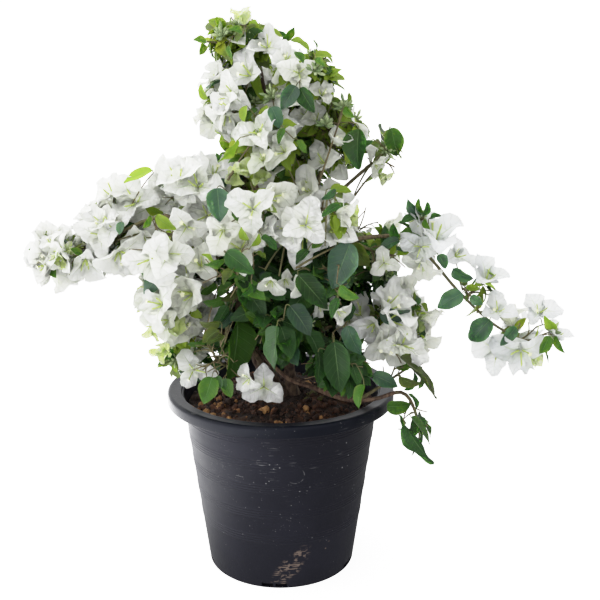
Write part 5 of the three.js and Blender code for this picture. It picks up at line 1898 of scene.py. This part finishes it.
class BOUGAINVILLEA_OT_bracts(bpy.types.Operator):
    """Makes the papery bracts, a piece for each tone"""

    bl_idname = "bougainvillea.bracts"
    bl_label = "Bracts"

    def execute(self, context):
        values = settings(context, "bract")
        for tone, (_, strength) in BRACT_TONES.items():
            base, vein = colour(getattr(values, tone)), colour(values.vein)
            finish = bract_finish("bract_" + tone, base, vein, strength)
            shape = near_and_far(BRACT, plant().bracts, tone)
            make_piece("bracts_" + tone, shape, finish, (), 100)
        return {"FINISHED"}


class BOUGAINVILLEA_OT_flowers(bpy.types.Operator):
    """Makes the small true flowers that lie in the bracts, and the bud clusters"""

    bl_idname = "bougainvillea.flowers"
    bl_label = "Flowers and Buds"

    def execute(self, context):
        values = settings(context, "bract")
        flower_tubes, stars = flower_shapes()
        green = plain_finish("flower_tube", colour(values.flower), (0.54, 0.64, 0.2))
        make_piece("flower_tubes", flower_tubes, green)
        cream = plain_finish("flower_star", (0.72, 0.74, 0.42), (0.86, 0.86, 0.68))
        make_piece("flower_stars", stars, cream, (), 40)
        grey = plain_finish("bud", (0.12, 0.19, 0.07), (0.42, 0.5, 0.26))
        make_piece("buds", bud_shapes(), grey)
        return {"FINISHED"}


class BOUGAINVILLEA_PT_panel(bpy.types.Panel):
    """Lists the sizes, the colours and the steps that make the plant"""

    bl_idname = "BOUGAINVILLEA_PT_panel"
    bl_label = "Bougainvillea"
    bl_space_type = "VIEW_3D"
    bl_region_type = "UI"
    bl_category = "Bougainvillea"

    def draw(self, context):
        for group, kind in SETTINGS.items():
            box = self.layout.box()
            box.label(text=group.capitalize())
            for name in kind.__annotations__:
                box.prop(settings(context, group), name)
        for operator in OPERATORS:
            self.layout.operator(operator.bl_idname)


OPERATORS = (
    BOUGAINVILLEA_OT_stage,
    BOUGAINVILLEA_OT_pot,
    BOUGAINVILLEA_OT_soil,
    BOUGAINVILLEA_OT_limbs,
    BOUGAINVILLEA_OT_twigs,
    BOUGAINVILLEA_OT_leaves,
    BOUGAINVILLEA_OT_bracts,
    BOUGAINVILLEA_OT_flowers,
)
CLASSES = (*SETTINGS.values(), *OPERATORS, BOUGAINVILLEA_PT_panel)


def register():
    """Registers the classes and hangs a group of settings of each kind on the scene."""
    for kind in CLASSES:
        bpy.utils.register_class(kind)
    for group, kind in SETTINGS.items():
        setattr(bpy.types.Scene, "bougainvillea_" + group, PointerProperty(type=kind))


def unregister():
    """Takes the settings and the classes away again."""
    for group in SETTINGS:
        delattr(bpy.types.Scene, "bougainvillea_" + group)
    for kind in reversed(CLASSES):
        bpy.utils.unregister_class(kind)


def main():
    """Makes every piece in order."""
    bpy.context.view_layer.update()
    register()
    for operator in OPERATORS:
        group, step = operator.bl_idname.split(".")
        getattr(getattr(bpy.ops, group), step)()
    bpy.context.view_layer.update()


if __name__ == "__main__":
    main()
